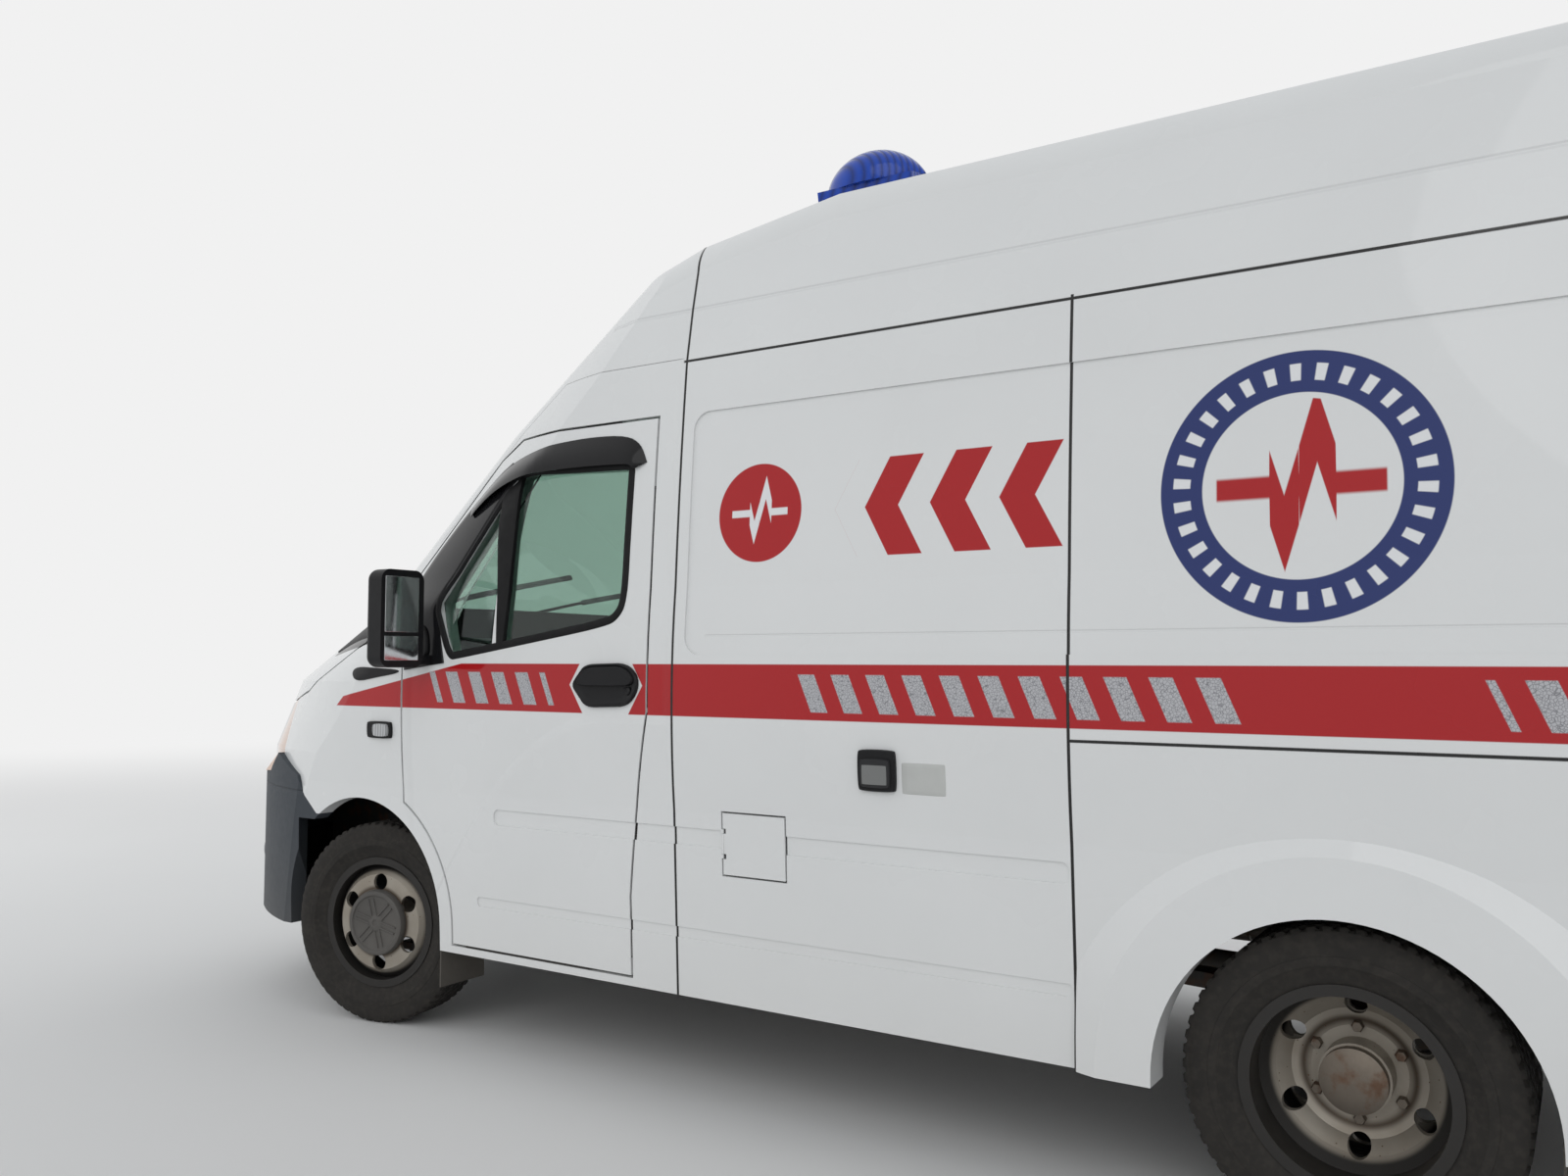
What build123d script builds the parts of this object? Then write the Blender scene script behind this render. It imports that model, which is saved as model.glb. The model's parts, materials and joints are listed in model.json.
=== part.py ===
from build123d import *
import math
import os

os.makedirs("parts", exist_ok=True)

# An ambulance on a short-wheelbase, high-roof panel van with twin rear wheels.
# Origin on the ground under the middle of the van, +X forward, +Y left, +Z up, millimetres.

# Driving dimensions
WHEELBASE = 3145.0
FRONT_OVERHANG = 1030.0
REAR_OVERHANG = 1432.0
FRONT_X = (WHEELBASE + FRONT_OVERHANG + REAR_OVERHANG) / 2.0
REAR_X = -FRONT_X
FRONT_AXLE_X = FRONT_X - FRONT_OVERHANG
REAR_AXLE_X = REAR_X + REAR_OVERHANG

# Tyres and rims
TYRE_RADIUS = 342.0
TYRE_WIDTH = 185.0
BEAD_RADIUS = 203.0
RIM_FLANGE = 222.0
RIM_WIDTH = 150.0
RIM_WALL = 6.0
FRONT_WHEEL_Y = 875.0
REAR_OUTER_Y = 885.0
TWIN_SPACING = 210.0
KINGPIN_Y = 760.0
REST_STEER = 12.0

# Body shell
SILL_HALF = 995.0
SILL_Z = 300.0
ROOF_Z = 2753.0
WALL = 55.0
GLASS_DEPTH = 14.0
GLASS_THICKNESS = 5.0
REAR_STEP = 70.0
REAR_WALL_X = REAR_X + REAR_STEP
SEAM_CAB_X = 381.0
SEAM_REAR_X = -798.0
SEAM_LOW_Z = 1062.0
SEAM_ROOF_Z = 2130.0
SEAM_CAB_ROOF_Z = 1985.0
DOOR_GAP = 8.0
SMALL_GAP = 5.0
ARCH_RADIUS = 392.0
FRONT_ARCH_X = FRONT_AXLE_X - 14.0
FRONT_ARCH_Z = 383.0
REAR_ARCH_Z = 320.0

# Floor and frame
LOAD_FLOOR_Z = 700.0
LOAD_FLOOR_THICKNESS = 40.0
CAB_FLOOR_Z = 540.0
BULKHEAD_X = 330.0
BULKHEAD_THICKNESS = 40.0
FIREWALL_X = 1570.0
PLATE = 20.0
RAIL_Y = 400.0
RAIL_WIDTH = 60.0
RAIL_DEPTH = 100.0
WELL_Y = 560.0
REAR_WELL_TOP = 830.0
FRONT_WELL_TOP = 900.0

PIN_FIT = 0.1
HALF_SPACE = 1100.0
BEYOND = 400.0


def outline(start, *runs):
    """A closed face; a run is the next corner, or a pair (point on the arc, end of the arc)."""
    edges = []
    here = start
    for run in runs:
        if isinstance(run[0], tuple):
            edges.append(ThreePointArc(here, run[0], run[1]))
            here = run[1]
        else:
            edges.append(Line(here, run))
            here = run
    edges.append(Line(here, start))
    return make_face(Curve() + edges)


def side_prism(face, y_low=-1500.0, y_high=1500.0):
    """A side-view outline (X, Z) carried across from y_low to y_high."""
    return Pos(0, y_low, 0) * extrude(Plane.XZ * face, amount=y_high - y_low, dir=(0, 1, 0))


def front_prism(face, x_low, x_high):
    """A front-view outline (Y, Z) carried from x_low to x_high."""
    return Pos(x_low, 0, 0) * extrude(Plane.YZ * face, amount=x_high - x_low, dir=(1, 0, 0))


def block(x0, x1, y0, y1, z0, z1):
    """A box given by its two ends on each axis."""
    return Pos((x0 + x1) / 2, (y0 + y1) / 2, (z0 + z1) / 2) * Box(x1 - x0, y1 - y0, z1 - z0)


def rod(radius, start, end):
    """A round bar between two points."""
    a, b = Vector(*start), Vector(*end)
    ends = (Align.CENTER, Align.CENTER, Align.MIN)
    return Plane(origin=a, z_dir=b - a) * Cylinder(radius, (b - a).length, align=ends)


def both(solid):
    """A piece and its mirror image on the other side of the van."""
    return [solid, mirror(solid, about=Plane.XZ)]


# Half of the van's cross-section as (half-width, height, moves in, moves down, sinks with the roof):
# the third and fourth say how far a corner moves for each millimetre that the wall is thick
SECTION = [
    (SILL_HALF, SILL_Z, 1.0, -1.0, 0),
    (1018.0, 820.0, 1.0, 0.0, 0),
    (1034.0, 1150.0, 1.0, 0.0, 0),
    (1019.0, 1460.0, 1.0, 0.0, 0),
    (999.0, 1795.0, 1.0, 0.0, 0),
    (971.0, SEAM_ROOF_Z, 1.0, 0.0, 0),
    (944.0, 2290.0, 1.0, 0.0, 0),
    (902.0, 2490.0, 1.0, 0.5, 1),
    (890.0, 2537.0, 0.9, 0.75, 1),
    (866.0, 2572.0, 0.7, 1.0, 1),
    (437.0, 2708.0, 0.35, 1.0, 1),
    (0.0, ROOF_Z, 0.0, 1.0, 1),
]
WALL_LEAN = 0.21


def section_face(x, drop, inset):
    """The closed cross-section at x, its roof sunk by drop and all of it drawn in by inset."""
    left = []
    for half, height, moves_in, moves_down, sinks in SECTION:
        widen = WALL_LEAN * drop * sinks if half > 500.0 else 0.0
        left.append((half - inset * moves_in + widen, height - inset * moves_down - drop * sinks))
    right = [(-y, z) for y, z in left]
    face = outline(
        right[0], left[0], left[1], (left[2], left[3]), (left[4], left[5]), left[6], left[7],
        (left[8], left[9]), (left[10], left[11]), (right[10], right[9]), (right[8], right[7]),
        right[6], right[5], (right[4], right[3]), (right[2], right[1]))
    return Pos(x, 0, 0) * (Plane.YZ * face)


def ruled_body(stations, inset):
    """Straight-ruled lengths of the body between stations of (X, roof drop)."""
    solid = None
    for (x0, drop0), (x1, drop1) in zip(stations, stations[1:]):
        first = section_face(x0, drop0, inset)
        if drop0 == drop1:
            length = extrude(first, amount=x1 - x0, dir=(1, 0, 0))
        else:
            length = loft([first, section_face(x1, drop1, inset)], ruled=True)
        solid = length if solid is None else solid + length
    return solid


def plan_face(x_front, shape, draw_in):
    """A plan outline whose front middle stands at x_front; shape gives its half as (back, half-width)."""
    widest = shape[-1][1]
    left = [(x_front - back, half * (1.0 - draw_in / widest)) for back, half in shape]
    right = [(x, -y) for x, y in left]
    middle, corner_start, corner_mid, corner_end, side_mid, side_end = left
    tail = REAR_WALL_X - BEYOND
    return outline(
        (tail, -HALF_SPACE),
        (side_end[0], -HALF_SPACE),
        right[5],
        (right[4], right[3]),
        (right[2], right[1]),
        (middle, corner_start),
        (corner_mid, corner_end),
        (side_mid, side_end),
        (side_end[0], HALF_SPACE),
        (tail, HALF_SPACE),
    )


# Plan curves as (distance behind the middle of the front, half-width), in this order:
# front middle, start of the corner, its middle, its end, middle of the side, end of the side
NOSE_PLAN = [(0.0, 0.0), (138.0, 730.0), (203.0, 797.0), (303.0, 865.0), (520.0, 967.0), (900.0, 1040.0)]
SCREEN_PLAN = [(0.0, 0.0), (150.0, 730.0), (205.0, 820.0), (290.0, 885.0), (560.0, 975.0), (1100.0, 1042.0)]


def raked_prism(x_front, z_ref, rake, shape, inset):
    """A plan outline carried along a line that leans back by rake degrees from level."""
    lean = math.radians(rake)
    face = Pos(0, 0, z_ref) * plan_face(x_front - inset / math.sin(lean), shape, inset)
    way = Vector(-math.cos(lean), 0, math.sin(lean))
    reach = 2600.0 / math.sin(lean)
    up = extrude(face, amount=reach, dir=way)
    down = extrude(face, amount=reach, dir=-way)
    return up + down


# Leaning surfaces as (front middle X, at height Z, rake from level, plan curve)
SCREEN = (2010.0, 1500.0, 41.4, SCREEN_PLAN)
BROW = (1240.0, 2150.0, 36.5, SCREEN_PLAN)
NOSE = [
    (2745.0, 900.0, 88.0, NOSE_PLAN),
    (2738.0, 931.0, 58.3, NOSE_PLAN),
    (2333.0, 1313.0, 28.6, NOSE_PLAN),
]
BUMPER = (FRONT_X, 600.0, 90.0, NOSE_PLAN)

# Where the roof begins to fall towards the windscreen, and how far it has sunk at two seams
ROOF_FALL_X = -80.0
CAB_SEAM_DROP = 75.0
BROW_X = 700.0
BROW_DROP = 190.0


def load_body(inset):
    """The load space's outer form behind the cab seam, drawn in by inset."""
    stations = [(REAR_WALL_X + inset, 0.0), (ROOF_FALL_X, 0.0), (SEAM_CAB_X, CAB_SEAM_DROP)]
    return ruled_body(stations, inset)


def cab_body(inset):
    """The cab's outer form ahead of the cab seam, drawn in by inset."""
    stations = [(SEAM_CAB_X, CAB_SEAM_DROP), (BROW_X, BROW_DROP), (FRONT_X, BROW_DROP)]
    solid = ruled_body(stations, inset)
    for row in (BROW, SCREEN):
        solid = solid & raked_prism(*row, inset)
    return solid


def straight_body(inset, x_low, x_high):
    """A length of body of one section, drawn in by inset."""
    return extrude(section_face(x_low, 0.0, inset), amount=x_high - x_low, dir=(1, 0, 0))


NOSE_REAR_X = 1000.0


def nose_body(inset):
    """The bonnet and wings' outer form, drawn in by inset."""
    solid = straight_body(inset, NOSE_REAR_X, FRONT_X) & block(NOSE_REAR_X, FRONT_X, -1100, 1100, 0, 1700.0)
    for row in NOSE:
        solid = solid & raked_prism(*row, inset)
    return solid


def open_below(x_low, x_high):
    """What is taken out under the floor so that the body is open below."""
    half = SILL_HALF - WALL
    return block(x_low, x_high, -half, half, SILL_Z - 10, SILL_Z + WALL + 10)


load_shell = load_body(0.0) - load_body(WALL) - open_below(REAR_WALL_X + WALL, SEAM_CAB_X)
front_outer = cab_body(0.0) + nose_body(0.0)
front_inner = cab_body(WALL) + nose_body(WALL)
front_shell = front_outer - front_inner - open_below(SEAM_CAB_X, 2600.0)


def arch(x, z):
    """The round space over an axle, open below, right across the van."""
    disc = side_prism(Pos(x, z) * Circle(ARCH_RADIUS))
    return disc + block(x - ARCH_RADIUS, x + ARCH_RADIUS, -1500, 1500, 0.0, z)


front_arches = arch(FRONT_ARCH_X, FRONT_ARCH_Z)
rear_arches = arch(REAR_AXLE_X, REAR_ARCH_Z)

# Side-view outlines (X, Z)
DOOR_FRONT_X = 1530.0
DOOR_REAR_X = 477.0
DOOR_BOTTOM_Z = 331.0
DOOR_TOP_Z = 1968.0
DOOR_ARCH_RADIUS = ARCH_RADIUS + 63.0


def door_outline(grow):
    """The front door's edge in side view, grown by the gap for its opening."""
    front, rear = DOOR_FRONT_X + grow, DOOR_REAR_X - grow
    top, bottom = DOOR_TOP_Z + grow, DOOR_BOTTOM_Z - grow
    edge = outline(
        (rear, top),
        (rear, 1100.0),
        ((DOOR_REAR_X + 38.0 - grow, 880.0), (DOOR_REAR_X + 77.0 - grow, 560.0)),
        (DOOR_REAR_X + 77.0 - grow, bottom),
        (front, bottom),
        (front, 1240.0),
        (1628.0 + grow, 1415.0),
        (1607.0 + grow, 1525.0 + grow * 0.5),
        (1205.0 + grow, 1912.0 + grow * 0.5),
        (1090.0 + grow, top),
    )
    wheel = Pos(FRONT_ARCH_X, FRONT_ARCH_Z) * Circle(DOOR_ARCH_RADIUS - grow)
    below = Pos(FRONT_ARCH_X, 0) * Rectangle(2 * (DOOR_ARCH_RADIUS - grow), 2 * FRONT_ARCH_Z)
    return edge - wheel - below


DOOR_GLASS = outline(
    (572.0, 1822.0),
    (578.0, 1428.0),
    ((596.0, 1392.0), (640.0, 1368.0)),
    (1300.0, 1268.0),
    (1385.0, 1440.0),
    (1115.0, 1775.0),
    ((1080.0, 1820.0), (1019.0, 1845.0)),
)
GLASS_BAR = outline((1085.0, 1250.0), (1115.0, 1250.0), (1085.0, 1860.0), (1055.0, 1860.0))

# The bonnet's lower edge in side view and all that lies above it
BONNET_EDGE = [(1700.0, 1345.0), (1850.0, 1295.0), (2150.0, 1140.0), (2350.0, 1095.0), (2900.0, 1075.0)]


def above_bonnet_edge(shift):
    rows = [(x, z + shift) for x, z in BONNET_EDGE]
    return side_prism(outline(*rows, (2900.0, 1800.0), (1700.0, 1800.0)))


bumper_zone = side_prism(outline(
    (1950.0, 200.0), (1950.0, 705.0), (2000.0, 705.0), (2065.0, 765.0), (2110.0, 835.0),
    (2300.0, 905.0), (2420.0, 830.0), (2900.0, 800.0), (2900.0, 200.0)))

# Openings seen from the front (Y, Z)
SCREEN_BOTTOM_Z = 1440.0
SCREEN_TOP_Z = 2085.0
screen_opening = front_prism(outline(
    (-805.0, SCREEN_BOTTOM_Z), ((0.0, SCREEN_BOTTOM_Z + 15.0), (805.0, SCREEN_BOTTOM_Z)),
    (725.0, SCREEN_TOP_Z), ((0.0, SCREEN_TOP_Z + 20.0), (-725.0, SCREEN_TOP_Z))), 950.0, 2300.0)

# Panels of the shell
over_roof_seam = block(REAR_WALL_X - 10, SEAM_CAB_X + 10, -1200, 1200, SEAM_ROOF_Z, 3000)
over_cab_seam = block(SEAM_CAB_X - 10, 2900, -1200, 1200, SEAM_CAB_ROOF_Z, 3000)
rear_wall_zone = block(REAR_WALL_X - 10, REAR_WALL_X + WALL, -1200, 1200, 0, 3000)
screen_side = raked_prism(SCREEN[0] + 45.0, *SCREEN[1:], 0.0)

pieces = {}

pieces["roof"] = (load_shell & over_roof_seam) - rear_wall_zone
pieces["cab_roof"] = (front_shell & over_cab_seam) - screen_opening

body_sides = load_shell - over_roof_seam - rear_wall_zone - rear_arches

# Pressed forms of the sides in side view as (X, Z of the middle, length, height, corner radius, depth)
PRESSINGS = [
    (-1160.0, 1617.0, 3000.0, 706.0, 55.0, 6.0),
    (160.0, 752.0, 1900.0, 50.0, 20.0, 5.0),
    (200.0, 479.0, 1980.0, 30.0, 12.0, 4.0),
]
pressed = []
for x, z, length, height, corner, depth in PRESSINGS:
    form = side_prism(Pos(x, z) * RectangleRounded(length, height, corner), 900.0, 1100.0)
    form = form - straight_body(depth, REAR_WALL_X, 1300.0)
    pressed.append(form)
sunk = pressed + [mirror(form, about=Plane.XZ) for form in pressed]
body_sides = body_sides - sunk[0] - sunk[3]

# Rear wheel flares stand out to the body's full width as (radius from the axle, half-width)
FLARE = [(0.0, 1036.0), (520.0, 1036.0), (612.0, 1004.0)]
flare_face = outline((0.0, 960.0), *FLARE, (FLARE[2][0], 960.0))
flare = Pos(REAR_AXLE_X, 0, REAR_ARCH_Z) * revolve(Plane.XY * flare_face, Axis.Y)
flare = flare & block(REAR_AXLE_X - 700, SEAM_REAR_X, 0, 1100, SILL_Z, SEAM_LOW_Z)
left_half = block(-3000, 3000, 0, 1500, 0, 3000)
right_half = block(-3000, 3000, -1500, 0, 0, 3000)
ahead_of_rear_seam = block(SEAM_REAR_X, SEAM_CAB_X + 10, -1500, 1500, 0, 3000)
quarters = body_sides - ahead_of_rear_seam
low = block(-3000, SEAM_REAR_X, -1500, 1500, 0, SEAM_LOW_Z)
pieces["rear_quarters_upper"] = quarters - low
rear_low = (load_shell & low) - rear_wall_zone
pieces["rear_quarters_lower"] = (rear_low + flare + mirror(flare, about=Plane.XZ)) - rear_arches

# Fuel flap at the left, behind the front door
FLAP = (6.0, 211.0, 656.0, 826.0)
FLAP_THICKNESS = 6.0
flap_cut = block(FLAP[0] - SMALL_GAP, FLAP[1] + SMALL_GAP, 900, 1100,
                 FLAP[2] - SMALL_GAP, FLAP[3] + SMALL_GAP)
flap_pocket = (flap_cut & load_body(0.0)) - straight_body(WALL - PLATE, SEAM_REAR_X, SEAM_CAB_X)
side_left = (body_sides & ahead_of_rear_seam & left_half) - flap_pocket - sunk[1] - sunk[2]
flap_plate = block(FLAP[0], FLAP[1], 900, 1100, FLAP[2], FLAP[3]) & load_body(0.0)
flap_plate = flap_plate - straight_body(FLAP_THICKNESS, SEAM_REAR_X, SEAM_CAB_X)
FLAP_PIN = (FLAP[1], 1015.0)
FLAP_PIN_RADIUS = 1.5
FLAP_BARREL = 3.0
flap_z = (FLAP[2] + FLAP[3]) / 2
flap_axis = ((*FLAP_PIN, flap_z - 40), (*FLAP_PIN, flap_z + 40))
side_left = side_left + rod(FLAP_PIN_RADIUS, *flap_axis)
for z in (flap_z - 40, flap_z + 30):
    lug = block(FLAP_PIN[0], FLAP[1] + SMALL_GAP, FLAP_PIN[1] - 3, FLAP_PIN[1] + 3, z, z + 10)
    side_left = side_left + lug + rod(FLAP_BARREL, (*FLAP_PIN, z), (*FLAP_PIN, z + 10))
    flap_plate = flap_plate - block(FLAP[1] - 10, FLAP[1] + 1, 900, 1100, z - 2, z + 12)
barrel_ends = ((*FLAP_PIN, flap_z - 28), (*FLAP_PIN, flap_z + 28))
flap_plate = flap_plate + rod(FLAP_BARREL, *barrel_ends)
flap_plate = flap_plate - rod(FLAP_PIN_RADIUS + PIN_FIT, (*FLAP_PIN, flap_z - 41), (*FLAP_PIN, flap_z + 41))
pieces["fuel_flap"] = flap_plate
pieces["side_panel_left"] = side_left

# Sliding door at the right, standing closed in its frame
SLIDE = (-770.0, 350.0, 345.0, 2060.0)
slide_cut = block(SLIDE[0], SLIDE[1], -1200, 0, SLIDE[2], SLIDE[3])
right_front = (body_sides & ahead_of_rear_seam & right_half) - sunk[4] - sunk[5]
pieces["side_frame_right"] = right_front - slide_cut
pieces["sliding_door"] = right_front & slide_cut

# Cab sides with the door openings; the cowl runs under the windscreen, up to the bonnet's rear edge
BONNET_REAR_X = 2170.0
BONNET_GAP = 25.0
COWL_HALF = 880.0


def upright_prism(x_front):
    """All that lies behind the windscreen's plan curve when its middle stands at x_front."""
    return extrude(plan_face(x_front, SCREEN_PLAN, 0.0), amount=2000.0, dir=(0, 0, 1))


nose_zone = block(DOOR_FRONT_X + DOOR_GAP, 2900, -1200, 1200, 0, 1500)
cowl_zone = block(1500, 2400, -COWL_HALF, COWL_HALF, 1150, SCREEN_BOTTOM_Z + 20)
cab_lower = front_shell - over_cab_seam - screen_opening - front_arches
pillar_zone = cab_lower & (screen_side + block(SEAM_CAB_X, DOOR_FRONT_X + DOOR_GAP, -1200, 1200, 0, 3000))
fender_line = block(DOOR_FRONT_X + DOOR_GAP, 2900, -1200, 1200, 0, 1345)
door_hole = side_prism(door_outline(DOOR_GAP))
cowl = (cab_lower & cowl_zone & upright_prism(BONNET_REAR_X - BONNET_GAP)) - door_hole
cab_sides = pillar_zone - fender_line - cowl_zone - door_hole
pieces["cab_sides"] = cab_sides - sunk[1] - sunk[2] - sunk[4] - sunk[5]

# Bonnet, fenders, lamps, grille and bumper tile the nose
pillar_side = raked_prism(SCREEN[0] + 45.0 + BONNET_GAP / 0.66, *SCREEN[1:], 0.0)
nose_skin = front_shell - front_arches - bumper_zone
bonnet_whole = (nose_skin & above_bonnet_edge(0.0)) & block(1800, 2900, -1200, 1200, 900, 1500)
bonnet_half = COWL_HALF - DOOR_GAP
bonnet_middle = bonnet_whole & block(1800, 2900, -bonnet_half, bonnet_half, 900, 1500)
bonnet = (bonnet_middle - upright_prism(BONNET_REAR_X)) + (bonnet_whole - pillar_side)

# Bonnet hinges: a pin in a pocket at each rear corner, near the outer skin
BONNET_PIN = (1862.0, 1385.0)
BONNET_PIN_Y = (838.0, 868.0)
BONNET_PIN_RADIUS = 4.0
BONNET_LUG_Y = (848.0, 866.0)
BONNET_LUG_RADIUS = 8.0
LUG_DROP = (45.0, 23.0)
LUG_FRONT_X = 1935.0
for side in (-1, 1):
    pocket_y = sorted((side * BONNET_PIN_Y[0], side * (COWL_HALF + 1)))
    lug_y = sorted((side * BONNET_LUG_Y[0], side * BONNET_LUG_Y[1]))
    pin_y = sorted((side * (BONNET_PIN_Y[0] - 10), side * BONNET_PIN_Y[1]))
    lug_ends = [(BONNET_PIN[0], y, BONNET_PIN[1]) for y in lug_y]
    pin_ends = [(BONNET_PIN[0], y, BONNET_PIN[1]) for y in pin_y]
    cowl = cowl - block(BONNET_PIN[0] - 16, 1960, *pocket_y, BONNET_PIN[1] - 60, 1480)
    cowl = cowl + rod(BONNET_PIN_RADIUS, *pin_ends)
    lug = rod(BONNET_LUG_RADIUS, *lug_ends)
    low_z, high_z = BONNET_PIN[1] - LUG_DROP[0], BONNET_PIN[1] - LUG_DROP[1]
    lug = lug + block(BONNET_PIN[0] - 8, BONNET_PIN[0] + 8, *lug_y, low_z, BONNET_PIN[1])
    lug = lug + block(BONNET_PIN[0], LUG_FRONT_X, *lug_y, low_z, high_z)
    bonnet = (bonnet + lug) - rod(BONNET_PIN_RADIUS + PIN_FIT, *pin_ends)
lower_nose = (nose_skin & nose_zone) - above_bonnet_edge(-DOOR_GAP) - cowl_zone - door_hole
lower_nose = lower_nose & block(DOOR_FRONT_X + DOOR_GAP, 2900, -1200, 1200, SILL_Z + 150, 1345)
GRILLE_HALF = 500.0
LAMP_REAR_X = 2290.0
grille_zone = block(2300, 2900, -GRILLE_HALF, GRILLE_HALF, 700, 1345)
lamp_zone = block(LAMP_REAR_X, 2900, -1200, 1200, 700, 1345)
pieces["cowl"] = cowl
pieces["bonnet"] = bonnet
pieces["fenders"] = lower_nose - lamp_zone - cowl_zone
pieces["headlamps"] = (lower_nose & lamp_zone) - grille_zone
pieces["grille"] = lower_nose & grille_zone
bumper_form = straight_body(0.0, 1900.0, FRONT_X) & raked_prism(*BUMPER, 0.0)
bumper_hollow = raked_prism(*BUMPER, WALL) & straight_body(WALL, 1800.0, FRONT_X)
STEER_CLEARANCE = 12.0
steer_reach = math.hypot(TYRE_RADIUS, FRONT_WHEEL_Y - KINGPIN_Y + TYRE_WIDTH / 2) + STEER_CLEARANCE
front_bumper = ((bumper_form - bumper_hollow) & bumper_zone) - front_arches
for y in (KINGPIN_Y, -KINGPIN_Y):
    front_bumper = front_bumper - rod(steer_reach, (FRONT_AXLE_X, y, 0), (FRONT_AXLE_X, y, 2 * TYRE_RADIUS))
pieces["front_bumper"] = front_bumper

# Front doors: shell, windows and the pins that they turn on
DOOR_PIN_X = DOOR_FRONT_X - 70.0
DOOR_PIN_Y = 1012.0
DOOR_PIN_RADIUS = 5.0
DOOR_HINGE_Z = (930.0, 1200.0)
HINGE_HALF = 15.0
NOTCH_HALF = 30.0
POST_X = (1545.0, 1600.0)
POST_Y = (860.0, 925.0)
LEG_HALF = 6.0
window = DOOR_GLASS - GLASS_BAR
pane_skin = cab_body(GLASS_DEPTH) - cab_body(GLASS_DEPTH + GLASS_THICKNESS)
door_face = door_outline(0.0)
for pane in window.faces():
    door_face = door_face - pane
door = (front_outer & side_prism(door_face, 500, 1200)) - front_inner - open_below(SEAM_CAB_X, 2600.0)
door = door - sunk[1] - sunk[2]
hinges = []
for z in DOOR_HINGE_Z:
    notch = block(DOOR_PIN_X - 16, DOOR_FRONT_X + 1, 900, DOOR_PIN_Y + 8, z - NOTCH_HALF, z + NOTCH_HALF)
    pin_ends = ((DOOR_PIN_X, DOOR_PIN_Y, z - 45), (DOOR_PIN_X, DOOR_PIN_Y, z + 45))
    door = door - notch - rod(DOOR_PIN_RADIUS + PIN_FIT, *pin_ends)
    leg = block(DOOR_PIN_X - LEG_HALF, DOOR_PIN_X + LEG_HALF, POST_Y[1] - 15, DOOR_PIN_Y + 2,
                z - HINGE_HALF, z + HINGE_HALF)
    reach = block(DOOR_PIN_X - LEG_HALF, POST_X[0] + 1, POST_Y[1] - 15, POST_Y[1],
                  z - HINGE_HALF, z + HINGE_HALF)
    hinges.append(leg + reach + rod(DOOR_PIN_RADIUS, *pin_ends))
pieces["door_left"] = door
pieces["door_right"] = mirror(door, about=Plane.XZ)
panes = pane_skin & side_prism(window, 500, 1200)
pieces["door_glass_left"] = panes
pieces["door_glass_right"] = mirror(panes, about=Plane.XZ)
pieces["windscreen"] = pane_skin & screen_opening

# Door mirrors: a tall head on an arm from the window's front corner
MIRROR_HEAD = (1372.0, 1452.0, 1085.0, 1256.0, 1226.0, 1540.0)
mirror_arm = block(1392, 1448, 990, 1100, 1236, 1266)
mirror_head = block(*MIRROR_HEAD)
mirror_head = fillet(mirror_head.edges().filter_by(Axis.X), 35.0)
mirror_head = fillet(mirror_head.faces().sort_by(Axis.X)[-1].edges(), 25.0)
mirror_unit = (mirror_head + mirror_arm) - front_outer
pieces["mirror_left"] = mirror_unit
pieces["mirror_right"] = mirror(mirror_unit, about=Plane.XZ)

# Rear doors in the rear wall, on pins that stand outside it
REAR_DOOR_HALF = 866.0
REAR_DOOR_Z = (620.0, 2400.0)
REAR_PIN_OUT = 15.0
REAR_PIN_Y = REAR_DOOR_HALF - 1.0
REAR_HINGE_Z = (700.0, 1480.0, 2250.0)
KNUCKLE_RADIUS = 10.0
KNUCKLE = 25.0
KNUCKLE_GAP = 6.0
REAR_PIN_X = REAR_WALL_X - REAR_PIN_OUT
rear_slab = load_shell & rear_wall_zone
hole_half = REAR_DOOR_HALF + DOOR_GAP
rear_hole = block(REAR_WALL_X - 1, REAR_WALL_X + WALL + 1, -hole_half, hole_half,
                  REAR_DOOR_Z[0] - DOOR_GAP, REAR_DOOR_Z[1] + DOOR_GAP)
rear_frame = rear_slab - rear_hole
rear_door = block(REAR_WALL_X, REAR_WALL_X + WALL, DOOR_GAP / 2, REAR_DOOR_HALF, *REAR_DOOR_Z)
rear_window = front_prism(Pos(435.0, 1745.0) * RectangleRounded(560.0, 640.0, 60.0), REAR_WALL_X - 1,
                          REAR_WALL_X + WALL + 1)
rear_door = rear_door - rear_window
for z in REAR_HINGE_Z:
    low_end, high_end = (REAR_PIN_X, REAR_PIN_Y, z), (REAR_PIN_X, REAR_PIN_Y, z + 2 * KNUCKLE + KNUCKLE_GAP)
    fixed = rod(KNUCKLE_RADIUS, low_end, (REAR_PIN_X, REAR_PIN_Y, z + KNUCKLE))
    fixed = fixed + block(REAR_WALL_X - 20, REAR_WALL_X, REAR_PIN_Y + 3, 930, z, z + KNUCKLE)
    fixed = fixed + rod(DOOR_PIN_RADIUS, low_end, high_end)
    top = z + KNUCKLE + KNUCKLE_GAP
    leaf = rod(KNUCKLE_RADIUS, (REAR_PIN_X, REAR_PIN_Y, top), high_end)
    leaf = leaf + block(REAR_WALL_X - 20, REAR_WALL_X, 800, REAR_PIN_Y - 3, top, top + KNUCKLE)
    leaf = leaf - rod(DOOR_PIN_RADIUS + PIN_FIT, low_end, (REAR_PIN_X, REAR_PIN_Y, top + KNUCKLE + 1))
    rear_door = rear_door + leaf
    rear_frame = rear_frame + fixed + mirror(fixed, about=Plane.XZ)
pieces["rear_frame"] = rear_frame
pieces["rear_door_left"] = rear_door
pieces["rear_door_right"] = mirror(rear_door, about=Plane.XZ)
pane_x = REAR_WALL_X + GLASS_DEPTH
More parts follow.
